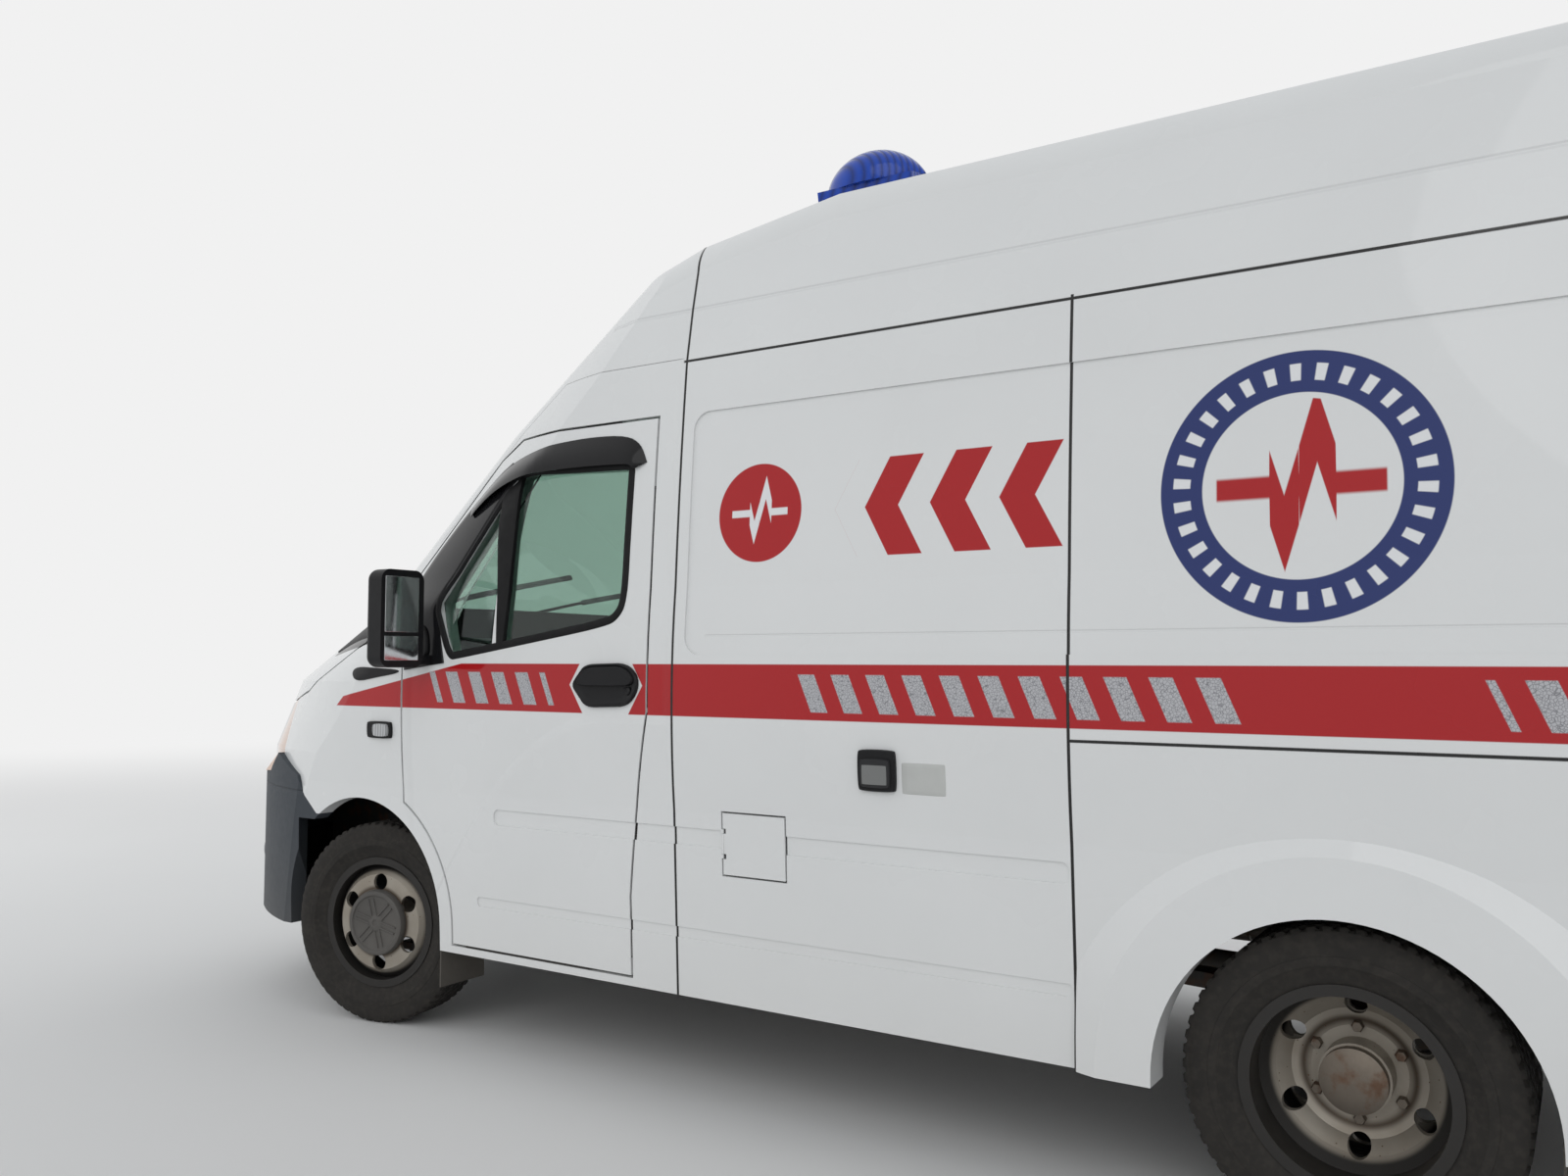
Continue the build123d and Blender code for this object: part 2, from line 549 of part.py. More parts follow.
rear_pane = rear_window & block(pane_x, pane_x + GLASS_THICKNESS, 0, 900, 1000, 2500)
pieces["rear_glass_left"] = rear_pane
pieces["rear_glass_right"] = mirror(rear_pane, about=Plane.XZ)
rear_bumper = block(REAR_X, REAR_WALL_X, -980, 980, 330, 560)
pieces["rear_bumper"] = fillet(rear_bumper.edges().filter_by(Axis.Z), 30.0)
lamp = fillet(block(REAR_WALL_X - 12, REAR_WALL_X, 892, 1008, 820, 1180).edges().filter_by(Axis.X), 20.0)
pieces["tail_lamps"] = Compound(children=both(lamp))

# Floor, rails, wheel wells, firewall and hinge posts are one welded frame
LOAD_FLOOR_REACH = 15.0
FLOOR_HALF = SILL_HALF - WALL + LOAD_FLOOR_REACH
FLOOR_REACH = 6.0
CAB_FLOOR_HALF = SILL_HALF - WALL + FLOOR_REACH
WELL_TOP_HALF = DOOR_PIN_Y - math.hypot(DOOR_FRONT_X - DOOR_PIN_X, DOOR_PIN_Y - SILL_HALF + WALL) - DOOR_GAP
rear_inside = REAR_WALL_X + WALL
RAIL_STEP_X = 300.0
rail_z = LOAD_FLOOR_Z - LOAD_FLOOR_THICKNESS
cab_rail_z = CAB_FLOOR_Z
rail_outline = outline(
    (rear_inside, rail_z - RAIL_DEPTH), (RAIL_STEP_X - 60, rail_z - RAIL_DEPTH),
    (RAIL_STEP_X + 60, cab_rail_z - RAIL_DEPTH), (2560.0, cab_rail_z - RAIL_DEPTH), (2560.0, cab_rail_z),
    (RAIL_STEP_X + 120, cab_rail_z), (RAIL_STEP_X, rail_z), (rear_inside, rail_z))
frame = side_prism(rail_outline, RAIL_Y - RAIL_WIDTH / 2, RAIL_Y + RAIL_WIDTH / 2)
frame = frame + mirror(frame, about=Plane.XZ)
frame = frame + block(rear_inside, BULKHEAD_X + BULKHEAD_THICKNESS, -FLOOR_HALF, FLOOR_HALF, rail_z, LOAD_FLOOR_Z)
CROSSMEMBER_X = (-2600.0, -1900.0, -850.0, -400.0, 100.0)
for x in CROSSMEMBER_X:
    frame = frame + block(x - 30, x + 30, -RAIL_Y, RAIL_Y, rail_z - RAIL_DEPTH, rail_z)
front_well_x = FRONT_ARCH_X - ARCH_RADIUS + 6
frame = frame + block(BULKHEAD_X, front_well_x, -CAB_FLOOR_HALF, CAB_FLOOR_HALF, CAB_FLOOR_Z - 40, CAB_FLOOR_Z)
frame = frame + block(BULKHEAD_X, BULKHEAD_X + BULKHEAD_THICKNESS, -CAB_FLOOR_HALF, CAB_FLOOR_HALF,
                      CAB_FLOOR_Z - 40, LOAD_FLOOR_Z)
frame = frame + block(front_well_x, FIREWALL_X + PLATE, -WELL_Y, WELL_Y, CAB_FLOOR_Z - 40, CAB_FLOOR_Z)
frame = frame + block(FIREWALL_X, FIREWALL_X + PLATE, -WELL_Y, WELL_Y, CAB_FLOOR_Z - 40, 1330)
frame = frame + block(FIREWALL_X, FIREWALL_X + PLATE, -900, 900, FRONT_WELL_TOP - PLATE, 1330)
for side in (-1, 1):
    def across(y_low, y_high):
        return sorted((side * y_low, side * y_high))
    frame = frame + block(front_well_x - PLATE, front_well_x, *across(WELL_Y - PLATE, CAB_FLOOR_HALF),
                          CAB_FLOOR_Z - 40, FRONT_WELL_TOP)
    frame = frame + block(front_well_x - PLATE, FIREWALL_X + PLATE, *across(WELL_Y - PLATE, WELL_TOP_HALF),
                          FRONT_WELL_TOP - PLATE, FRONT_WELL_TOP)
    frame = frame + block(front_well_x - PLATE, 2500, *across(WELL_Y - PLATE, WELL_Y),
                          CAB_FLOOR_Z - 40, FRONT_WELL_TOP)
    frame = frame + block(FIREWALL_X, 2500, *across(RAIL_Y, WELL_Y), CAB_FLOOR_Z - 40, CAB_FLOOR_Z)
    frame = frame + block(FRONT_AXLE_X - 85, FRONT_AXLE_X + 85, *across(WELL_Y - PLATE, 830),
                          FRONT_WELL_TOP - PLATE, FRONT_WELL_TOP)
    frame = frame + block(*POST_X, *across(POST_Y[0], POST_Y[1]), FRONT_WELL_TOP - PLATE, 1260)
    well = block(REAR_AXLE_X - 430, REAR_AXLE_X + 430, *across(WELL_Y, FLOOR_HALF), rail_z, REAR_WELL_TOP)
    space = block(REAR_AXLE_X - 410, REAR_AXLE_X + 410, *across(WELL_Y + PLATE, FLOOR_HALF + 10), 0,
                  REAR_WELL_TOP - PLATE)
    frame = (frame + well) - space
    for x in (REAR_AXLE_X - 680, REAR_AXLE_X + 680):
        frame = frame + block(x - 40, x + 40, *across(RAIL_Y, 540), 470, rail_z)
for hinge in hinges:
    frame = frame + hinge + mirror(hinge, about=Plane.XZ)

# Tow bar bolts: two blind holes in the underside of each rail's tail
TOWBAR_X = (-2600.0, -2450.0)
TOWBAR_HOLE_RADIUS = 6.5
TOWBAR_HOLE_DEPTH = 40.0
for x in TOWBAR_X:
    for y in (RAIL_Y, -RAIL_Y):
        hole_low = rail_z - RAIL_DEPTH
        frame = frame - rod(TOWBAR_HOLE_RADIUS, (x, y, hole_low - 1), (x, y, hole_low + TOWBAR_HOLE_DEPTH))
pieces["floor_frame"] = frame
bulkhead = extrude(section_face(BULKHEAD_X, CAB_SEAM_DROP, WALL + 2.0), amount=BULKHEAD_THICKNESS, dir=(1, 0, 0))
bulkhead = bulkhead & block(0, 500, -1000, 1000, LOAD_FLOOR_Z, 3000)

# Rack bolts: four blind holes in the bulkhead's face towards the load space
RACK_Y = 600.0
RACK_Z = (1100.0, 2000.0)
RACK_HOLE_RADIUS = 4.5
RACK_HOLE_DEPTH = 25.0
for y in (RACK_Y, -RACK_Y):
    for z in RACK_Z:
        rack_hole = rod(RACK_HOLE_RADIUS, (BULKHEAD_X - 1, y, z), (BULKHEAD_X + RACK_HOLE_DEPTH, y, z))
        bulkhead = bulkhead - rack_hole
pieces["bulkhead"] = bulkhead

# Wheels: a revolved profile in (radius, offset from the wheel's middle plane)
HUB_BORE = 22.0
REAR_HUB_BORE = 40.0
half_rim = RIM_WIDTH / 2


def turned(profile, x, y):
    """A profile of (radius, offset) spun about the line along Y through an axle height at (x, y)."""
    face = Plane.XY * profile
    return Pos(x, y, TYRE_RADIUS) * revolve(face, Axis.Y)


# Vent holes of the wheel discs as (number, radius of their circle, hole radius)
FRONT_VENTS = (6, 137.0, 28.0)
REAR_VENTS = (6, 152.0, 24.0)


def vents(count, ring, radius, y):
    """Round bars across a wheel through its ring of vent holes."""
    bars = []
    for number in range(count):
        turn = 2 * math.pi * (number + 0.5) / count
        x, z = ring * math.cos(turn), TYRE_RADIUS + ring * math.sin(turn)
        bars.append(rod(radius, (x, y - RIM_WIDTH, z), (x, y + RIM_WIDTH, z)))
    return bars


barrel = outline(
    (BEAD_RADIUS - RIM_WALL, -half_rim), (RIM_FLANGE, -half_rim), (RIM_FLANGE, -half_rim + RIM_WALL),
    (BEAD_RADIUS, -half_rim + RIM_WALL), (BEAD_RADIUS, half_rim - RIM_WALL), (RIM_FLANGE, half_rim - RIM_WALL),
    (RIM_FLANGE, half_rim), (BEAD_RADIUS - RIM_WALL, half_rim))
front_disc = outline(
    (HUB_BORE + PIN_FIT, -60.0), (60.0, -60.0), (60.0, 48.0), (88.0, 48.0), (112.0, 60.0), (158.0, 56.0),
    (197.5, 12.0), (197.5, 30.0), (162.0, 68.0), (110.0, 72.0), (85.0, 60.0), (66.0, 60.0), (60.0, 86.0),
    (0.0, 88.0), (0.0, 52.0), (HUB_BORE + PIN_FIT, 52.0))
rear_disc = outline(
    (REAR_HUB_BORE + PIN_FIT, -105.0), (105.0, -105.0), (150.0, -92.0), (178.0, -58.0), (197.5, -34.0),
    (197.5, -16.0), (168.0, -52.0), (140.0, -80.0), (100.0, -93.0), (75.0, -93.0), (75.0, -30.0), (0.0, -26.0),
    (0.0, -40.0), (REAR_HUB_BORE + PIN_FIT, -40.0))
tyre = outline(
    (BEAD_RADIUS, -half_rim + RIM_WALL), (RIM_FLANGE + 3, -half_rim + RIM_WALL),
    ((272.0, -TYRE_WIDTH / 2), (325.0, -84.0)), ((337.5, -80.0), (TYRE_RADIUS, -68.0)), (TYRE_RADIUS, 68.0),
    ((337.5, 80.0), (325.0, 84.0)), ((272.0, TYRE_WIDTH / 2), (RIM_FLANGE + 3, half_rim - RIM_WALL)),
    (BEAD_RADIUS, half_rim - RIM_WALL))
front_rim = turned(barrel, 0, FRONT_WHEEL_Y) + turned(front_disc, 0, FRONT_WHEEL_Y)
for bar in vents(*FRONT_VENTS, FRONT_WHEEL_Y):
    front_rim = front_rim - bar
front_tyre = turned(tyre, 0, FRONT_WHEEL_Y)
outer_rim = turned(barrel, 0, REAR_OUTER_Y) + turned(rear_disc, 0, REAR_OUTER_Y)
inner_disc = outline(
    (REAR_HUB_BORE + PIN_FIT, 105.0), (105.0, 105.0), (150.0, 92.0), (178.0, 58.0), (197.5, 34.0),
    (197.5, 16.0), (168.0, 52.0), (140.0, 80.0), (100.0, 93.0), (75.0, 93.0), (75.0, 10.0),
    (REAR_HUB_BORE + PIN_FIT, 10.0))
inner_y = REAR_OUTER_Y - TWIN_SPACING
inner_rim = turned(barrel, 0, inner_y) + turned(inner_disc, 0, inner_y)
twin_rim = outer_rim + inner_rim
for bar in vents(*REAR_VENTS, REAR_OUTER_Y - TWIN_SPACING / 2):
    twin_rim = twin_rim - bar


def steered(solid, side):
    """A front piece turned about its kingpin to the resting steer angle."""
    pin = Pos(FRONT_AXLE_X, side * KINGPIN_Y, 0)
    return pin * (Rot(0, 0, REST_STEER) * (pin.inverse() * solid))


# Knuckles: an upright on the kingpin line with the stub that carries the wheel
knuckle = block(-30, 30, KINGPIN_Y - 25, KINGPIN_Y + 25, 255, 520)
knuckle = knuckle - rod(15.0 + PIN_FIT, (0, KINGPIN_Y, 472), (0, KINGPIN_Y, 530))
knuckle = knuckle + rod(12.0, (0, KINGPIN_Y, 205), (0, KINGPIN_Y, 260))
knuckle = knuckle + rod(HUB_BORE, (0, KINGPIN_Y, TYRE_RADIUS), (0, FRONT_WHEEL_Y + 45, TYRE_RADIUS))
for side, word in ((1, "left"), (-1, "right")):
    for name, solid in (("rim_front_", front_rim), ("tyre_front_", front_tyre), ("knuckle_", knuckle)):
        placed = solid if side == 1 else mirror(solid, about=Plane.XZ)
        pieces[name + word] = steered(Pos(FRONT_AXLE_X, 0, 0) * placed, side)
    tyres = [Pos(0, (side - 1) * y, 0) * turned(tyre, 0, y) for y in (REAR_OUTER_Y, inner_y)]
    rims = twin_rim if side == 1 else mirror(twin_rim, about=Plane.XZ)
    pieces["rims_rear_" + word] = Pos(REAR_AXLE_X, 0, 0) * rims
    pieces["tyres_rear_" + word] = Compound(children=[Pos(REAR_AXLE_X, 0, 0) * t for t in tyres])

# Axles, springs and arms
ENGINE_Z = 450.0
axle = rod(60.0, (REAR_AXLE_X, -600, TYRE_RADIUS), (REAR_AXLE_X, 600, TYRE_RADIUS))
axle = axle + Pos(REAR_AXLE_X, 0, TYRE_RADIUS) * Sphere(150.0)
axle = axle + rod(REAR_HUB_BORE, (REAR_AXLE_X, -840, TYRE_RADIUS), (REAR_AXLE_X, 840, TYRE_RADIUS))
pieces["rear_axle"] = axle
SPRING_TOP = 470.0
leaf_face = outline(
    (REAR_AXLE_X - 720, SPRING_TOP), ((REAR_AXLE_X, TYRE_RADIUS + 100), (REAR_AXLE_X + 720, SPRING_TOP)),
    (REAR_AXLE_X + 720, SPRING_TOP - 40), ((REAR_AXLE_X, TYRE_RADIUS + 60), (REAR_AXLE_X - 720, SPRING_TOP - 40)))
pieces["leaf_springs"] = Compound(children=both(side_prism(leaf_face, 465, 535)))
arms = block(FRONT_AXLE_X - 75, FRONT_AXLE_X + 75, -430, 430, 240, CAB_FLOOR_Z - RAIL_DEPTH)
arms = arms + block(FRONT_AXLE_X - 75, FRONT_AXLE_X + 75, -200, 200, CAB_FLOOR_Z - RAIL_DEPTH - 1, ENGINE_Z)
struts = []
for side in (-1, 1):
    arm = block(FRONT_AXLE_X - 35, FRONT_AXLE_X + 35, *sorted((side * 400, side * (KINGPIN_Y + 30))), 215, 240)
    arm = arm - rod(12.0 + PIN_FIT, (FRONT_AXLE_X, side * KINGPIN_Y, 200), (FRONT_AXLE_X, side * KINGPIN_Y, 250))
    arms = arms + arm
    strut = rod(15.0, (FRONT_AXLE_X, side * KINGPIN_Y, 475), (FRONT_AXLE_X, side * KINGPIN_Y, 710))
    struts.append(strut + rod(55.0, (FRONT_AXLE_X, side * KINGPIN_Y, 705), (FRONT_AXLE_X, side * KINGPIN_Y, 880)))
pieces["front_arms"] = arms
pieces["front_struts"] = Compound(children=struts)

# Drive line, exhaust and tank
pieces["engine"] = block(1640, 2300, -260, 260, ENGINE_Z, 1020) + block(1100, 1641, -140, 140, 330, 490)
pieces["propshaft"] = rod(40.0, (1098.5, 0, 410), (REAR_AXLE_X + 151.0, 0, TYRE_RADIUS + 5))
exhaust = rod(28.0, (1600, -280, 400), (-900, -280, 400)) + rod(90.0, (-200, -280, 400), (400, -280, 400))
exhaust = exhaust + rod(28.0, (-900, -280, 400), (-1130, -280, 480))
exhaust = exhaust + rod(28.0, (-1130, -280, 480), (-2640, -280, 480))
for x, z in ((-400.0, 400.0), (100.0, 400.0), (-1900.0, 480.0), (-2600.0, 480.0)):
    exhaust = exhaust + block(x - 5, x + 5, -288, -272, z, rail_z - RAIL_DEPTH)
pieces["exhaust"] = exhaust
pieces["fuel_tank"] = block(-700, 200, 90, 360, 380, rail_z - RAIL_DEPTH)

# Cab inside
dash_face = outline((1200.0, 1000.0), (1200.0, 1230.0), (1260.0, 1290.0), (1540.0, 1330.0), (FIREWALL_X, 1330.0),
                    (FIREWALL_X, 920.0), (1400.0, 920.0), (1330.0, 960.0))
dashboard = side_prism(dash_face, -790, 790)
WHEEL_CENTRE = (960.0, 430.0, 1130.0)
column_way = Vector(-0.5, 0, 0.866)
centre = Vector(*WHEEL_CENTRE)
COLUMN_RADIUS = 22.0
SPINDLE_RADIUS = 8.0
SHROUD = (1000.0, 1205.0, 370.0, 490.0, 990.0, 1080.0)
column = rod(COLUMN_RADIUS, tuple(centre - column_way * 160), tuple(centre - column_way * 30))
column = column + rod(SPINDLE_RADIUS, tuple(centre - column_way * 40), tuple(centre + column_way * 5))
pieces["dashboard"] = dashboard + block(*SHROUD) + column
wheel_plane = Plane(origin=centre, z_dir=column_way)
steering = wheel_plane * Torus(190.0, 15.0)
hub = wheel_plane * (Pos(0, 0, -5) * Cylinder(60.0, 40.0))
spoke = wheel_plane * Box(60.0, 376.0, 14.0)
spindle_hole = rod(SPINDLE_RADIUS + PIN_FIT, tuple(centre - column_way * 60), tuple(centre + column_way * 6))
steering = (steering + spoke + hub) - spindle_hole
pieces["steering_wheel"] = steering
seats = []
for y in (430.0, -430.0):
    seat = block(560, 1010, y - 230, y + 230, 780, 900) + block(600, 980, y - 180, y + 180, CAB_FLOOR_Z, 781)
    back = outline((560.0, 860.0), (690.0, 860.0), (600.0, 1480.0), (500.0, 1480.0))
    seat = seat + side_prism(back, y - 220, y + 220)
    head = outline((510.0, 1475.0), (585.0, 1475.0), (575.0, 1680.0), (500.0, 1680.0))
    seats.append(seat + side_prism(head, y - 130, y + 130))
pieces["seats"] = Compound(children=seats)

# Blue lamps on the roof's front corners, mud flaps
BEACON_Y = 600.0
BEACON_X = (-220.0, 120.0)
dome = outline((BEACON_X[0], 0.0), ((BEACON_X[1] - 130, 96.0), (BEACON_X[1], 0.0)))
dome = revolve(Plane.XZ * dome, Axis.X) & block(-400, 400, -200, 200, 0, 200)
dome = dome + block(BEACON_X[0] + 10, BEACON_X[1] - 10, -80, 80, -45, 1)
dome = Pos(0, BEACON_Y, 2690.0) * (Rot(-12, 0, 0) * dome)
beacon = dome - load_body(0.0)
pieces["beacons"] = Compound(children=both(beacon))
front_flap_x = FRONT_ARCH_X - ARCH_RADIUS
rear_flap_x = REAR_AXLE_X - ARCH_RADIUS
flaps = both(block(front_flap_x, front_flap_x + 5, 800, 990, 180, FRONT_ARCH_Z))
flaps = flaps + both(block(rear_flap_x, rear_flap_x + 5, 600, 985, 160, REAR_ARCH_Z))
pieces["mud_flaps"] = Compound(children=flaps)

for name, solid in pieces.items():
    export_step(solid, "parts/" + name + ".step")
    box = solid.bounding_box()
    print(name, len(solid.solids()), round(solid.volume / 1e6), [round(v) for v in (*box.min, *box.max)])
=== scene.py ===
"""The looks of a high-roof ambulance van: livery, tyres, rubbers, lamps, handles, seats and a studio."""

import json
import math

import bmesh
import bpy
import numpy as np
from mathutils import Matrix, Vector


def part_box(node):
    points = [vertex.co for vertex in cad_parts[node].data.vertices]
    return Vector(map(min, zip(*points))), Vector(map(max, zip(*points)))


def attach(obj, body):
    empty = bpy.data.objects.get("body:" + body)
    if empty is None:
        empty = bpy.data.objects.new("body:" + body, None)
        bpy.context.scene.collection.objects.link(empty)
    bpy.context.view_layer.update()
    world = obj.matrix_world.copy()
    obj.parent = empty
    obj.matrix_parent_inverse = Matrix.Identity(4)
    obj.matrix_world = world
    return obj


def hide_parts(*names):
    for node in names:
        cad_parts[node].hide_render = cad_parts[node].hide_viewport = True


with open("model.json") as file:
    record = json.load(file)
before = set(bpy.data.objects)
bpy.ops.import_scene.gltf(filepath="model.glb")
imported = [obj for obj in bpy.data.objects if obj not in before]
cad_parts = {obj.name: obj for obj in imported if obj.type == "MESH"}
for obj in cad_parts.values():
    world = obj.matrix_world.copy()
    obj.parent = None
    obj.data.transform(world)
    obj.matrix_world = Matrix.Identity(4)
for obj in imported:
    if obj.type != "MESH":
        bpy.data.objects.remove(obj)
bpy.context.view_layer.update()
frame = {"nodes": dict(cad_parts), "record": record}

bl_info = {
    "name": "Ambulance van looks",
    "version": (1, 0, 0),
    "blender": (4, 5, 0),
    "location": "View3D > Sidebar > Ambulance",
    "description": "Dresses the ambulance van's frame with its livery, trim, wheels and seats",
    "category": "Object",
}

# The body's curves, in metres, as the frame has them
SECTION_LOW = ((0.995, 0.300), (1.018, 0.820))
SECTION_WAIST = ((1.018, 0.820), (1.034, 1.150), (1.019, 1.460))
SECTION_UPPER = ((1.019, 1.460), (0.999, 1.795), (0.971, 2.130))
SECTION_SHOULDER = ((0.971, 2.130), (0.944, 2.290), (0.902, 2.490))
# Plan curves as (distance behind the middle of the front, half-width)
NOSE_PLAN = ((0.138, 0.730), (0.203, 0.797), (0.303, 0.865), (0.520, 0.967), (0.900, 1.040))
SCREEN_PLAN = ((0.150, 0.730), (0.205, 0.820), (0.290, 0.885), (0.560, 0.975), (1.100, 1.042))
# Leaning surfaces as (front middle X, at height Z, rake from level in degrees, plan curve)
SCREEN = (2.010, 1.500, 41.4, SCREEN_PLAN)
BROW = (1.240, 2.150, 36.5, SCREEN_PLAN)
NOSE = ((2.745, 0.900, 88.0, NOSE_PLAN), (2.738, 0.931, 58.3, NOSE_PLAN), (2.333, 1.313, 28.6, NOSE_PLAN))
BUMPER = ((2.8035, 0.600, 90.0, NOSE_PLAN),)
CAB_REAR_X, NOSE_REAR_X, NOSE_TOP_Z = 0.381, 1.000, 1.700
REAR_WALL_X = -2.7335

FRONT_AXLE_X, REAR_AXLE_X, AXLE_Z = 1.7735, -1.3715, 0.342
KINGPIN_Y, FRONT_WHEEL_Y, REST_STEER = 0.760, 0.875, 12.0
REAR_OUTER_Y, TWIN_SPACING = 0.885, 0.210
HUB_NUT_RING, HUB_NUT_DEPTH = 0.100, -0.095
TYRE_RADIUS, BEAD_RADIUS, RIM_HALF = 0.342, 0.203, 0.075
STEPS_PER_BLOCK = 6

# Livery in side view as (X, Z) of middles, and the call badge's radius
CALL_BADGE, CALL_RADIUS = (0.100, 1.660), 0.138
RING_BADGE = (-1.313, 1.629)
CHEVRON_Z, CHEVRON_HALF = 1.653, 0.130
HANDLE_FIELD = (0.632, 1.176)

# Nose in front view: the number plate's half-width and heights with its holder's rim, the fog lamps as
# (Y, Z), and the headlamps' bowls as (Y, Z, radius)
PLATE_HALF, PLATE_LOW, PLATE_TOP, PLATE_RIM = 0.259, 0.613, 0.719, 0.009
FOG_LAMP = (0.715, 0.500)
BOWLS = ((0.615, 0.985, 0.066), (0.765, 0.992, 0.058))

SIDES = ((1, "left"), (-1, "right"))

# Soft lamps as (name, place, share of the fill power), and the point that every lamp faces
SOFT_LAMPS = (("front", (8.5, 3.0, 4.0), 1.0), ("rear", (-8.5, -2.5, 4.5), 0.8),
              ("far", (1.0, -8.5, 5.0), 1.2))
LAMP_TARGET = (0.0, 0.0, 1.2)

# The camera at the photograph's place: its turn, tilt and lean in radians, and its focal length in pixels
CAMERA_PLACE = (-1.8505, 3.8598, 1.2463)
CAMERA_TURN, CAMERA_TILT, CAMERA_LEAN = 0.5791, 0.0589, -0.0015
FOCAL_PIXELS, PICTURE_PIXELS, SENSOR_WIDTH = 1275.2, 1600.0, 36.0


# Curves of the body

def circle(points):
    """Centre and radius of the circle through three points, where its distances to them are equal."""
    (x1, y1), (x2, y2), (x3, y3) = points
    a = np.array([[x2 - x1, y2 - y1], [x3 - x1, y3 - y1]])
    b = 0.5 * np.array([x2 * x2 - x1 * x1 + y2 * y2 - y1 * y1, x3 * x3 - x1 * x1 + y3 * y3 - y1 * y1])
    centre = np.linalg.solve(a, b)
    return centre, math.hypot(x1 - centre[0], y1 - centre[1])


def arc_value(t, points, axis):
    """Half-width on an arc at t: the centre's plus the root of the radius squared less the offset squared."""
    centre, radius = circle(points)
    along = 1 - axis
    side = 1.0 if points[1][axis] > centre[axis] else -1.0
    return centre[axis] + side * np.sqrt(np.maximum(radius ** 2 - (t - centre[along]) ** 2, 0.0))


def section_half(z):
    """Half-width of the straight body at height z: a line, two arcs, then lines, each over its heights."""
    z = np.asarray(z, float)
    (y0, z0), (y1, z1) = SECTION_LOW
    low = y0 + (y1 - y0) * (z - z0) / (z1 - z0)
    shoulder = np.interp(z, [p[1] for p in SECTION_SHOULDER], [p[0] for p in SECTION_SHOULDER])
    heights = [z < z1, z < SECTION_WAIST[2][1], z < SECTION_UPPER[2][1]]
    return np.select(heights, [low, arc_value(z, SECTION_WAIST, 0), arc_value(z, SECTION_UPPER, 0)], shoulder)


def plan_half(back, plan):
    """Half-width at a distance behind the front's middle: the front arc, the corner arc, the side arc."""
    back = np.asarray(back, float)
    depth, width = plan[0]
    radius = (width ** 2 + depth ** 2) / (2 * depth)
    front = np.sqrt(np.maximum(radius ** 2 - (radius - back) ** 2, 0.0))
    corner = arc_value(back, plan[0:3], 1)
    side = arc_value(back, plan[2:5], 1)
    half = np.select([back < depth, back < plan[2][0], back < plan[4][0]], [front, corner, side], 1.1)
    return np.where(back < 0.0, 0.0, half)


def rake_x(row, z):
    """X of a leaning surface's middle at height z: it moves back by the height over the rake's tangent."""
    return row[0] - (z - row[1]) / math.tan(math.radians(row[2]))


def side_half(x, z):
    """Half-width of the van at (x, z): the section, drawn in by each leaning surface's plan curve."""
    x, z = np.broadcast_arrays(np.asarray(x, float), np.asarray(z, float))
    straight = section_half(z)
    cab, nose = straight, straight
    for row in (SCREEN, BROW):
        cab = np.minimum(cab, plan_half(rake_x(row, z) - x, row[3]))
    for row in NOSE:
        nose = np.minimum(nose, plan_half(rake_x(row, z) - x, row[3]))
    nose = np.where((x > NOSE_REAR_X) & (z < NOSE_TOP_Z), nose, 0.0)
    return np.where(x < CAB_REAR_X, straight, np.maximum(cab, nose))


def plan_back(y, plan):
    """Distance behind the front's middle at half-width y, read off the plan curve sampled finely."""
    steps = np.linspace(0.0, plan[4][0], 400)
    return np.interp(np.abs(y), plan_half(steps, plan), steps)


def front_x(y, z, rows):
    """X of the foremost surface at (y, z): the least of the leaning surfaces in rows."""
    y, z = np.broadcast_arrays(np.asarray(y, float), np.asarray(z, float))
    return np.min([rake_x(row, z) - plan_back(y, row[3]) for row in rows], axis=0)


# Surfaces as grids

def patch(points, close_u=False, close_v=False, caps=False):
    """A grid of points and its faces: each quad joins a point to its neighbours along the two parameters."""
    rows, columns = points.shape[:2]
    u = np.arange(rows if close_u else rows - 1)
    v = np.arange(columns if close_v else columns - 1)
    u0, v0 = np.meshgrid(u, v, indexing="ij")
    u1, v1 = (u0 + 1) % rows, (v0 + 1) % columns
    quads = np.stack([u0 * columns + v0, u1 * columns + v0, u1 * columns + v1, u0 * columns + v1], -1)
    faces = quads.reshape(-1, 4).tolist()
    if caps:
        faces.append(list(range(columns)))
        faces.append(list(range((rows - 1) * columns, rows * columns)))
    return points.reshape(-1, 3), faces


def piece(name, patches, material, body, smooth=40.0, replaces=()):
    """One object from several patches: doubles are merged, faces turned outwards, sharp edges kept."""
    corners, faces, count = [], [], 0
    for points, quads in patches:
        corners.append(points)
        faces.extend([[i + count for i in face] for face in quads])
        count += len(points)
    mesh = bpy.data.meshes.new(name)
    mesh.from_pydata(np.concatenate(corners).tolist(), [], faces)
    work = bmesh.new()
    work.from_mesh(mesh)
    bmesh.ops.remove_doubles(work, verts=work.verts, dist=1e-5)
    bmesh.ops.dissolve_degenerate(work, edges=work.edges, dist=1e-6)
    bmesh.ops.recalc_face_normals(work, faces=work.faces)
    work.to_mesh(mesh)
    work.free()
    mesh.shade_smooth()
    mesh.set_sharp_from_angle(angle=math.radians(smooth))
    mesh.materials.append(material)
    made = bpy.data.objects.new(name, mesh)
    bpy.context.scene.collection.objects.link(made)
    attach(made, body)
    if replaces:
        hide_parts(*replaces)
    return made


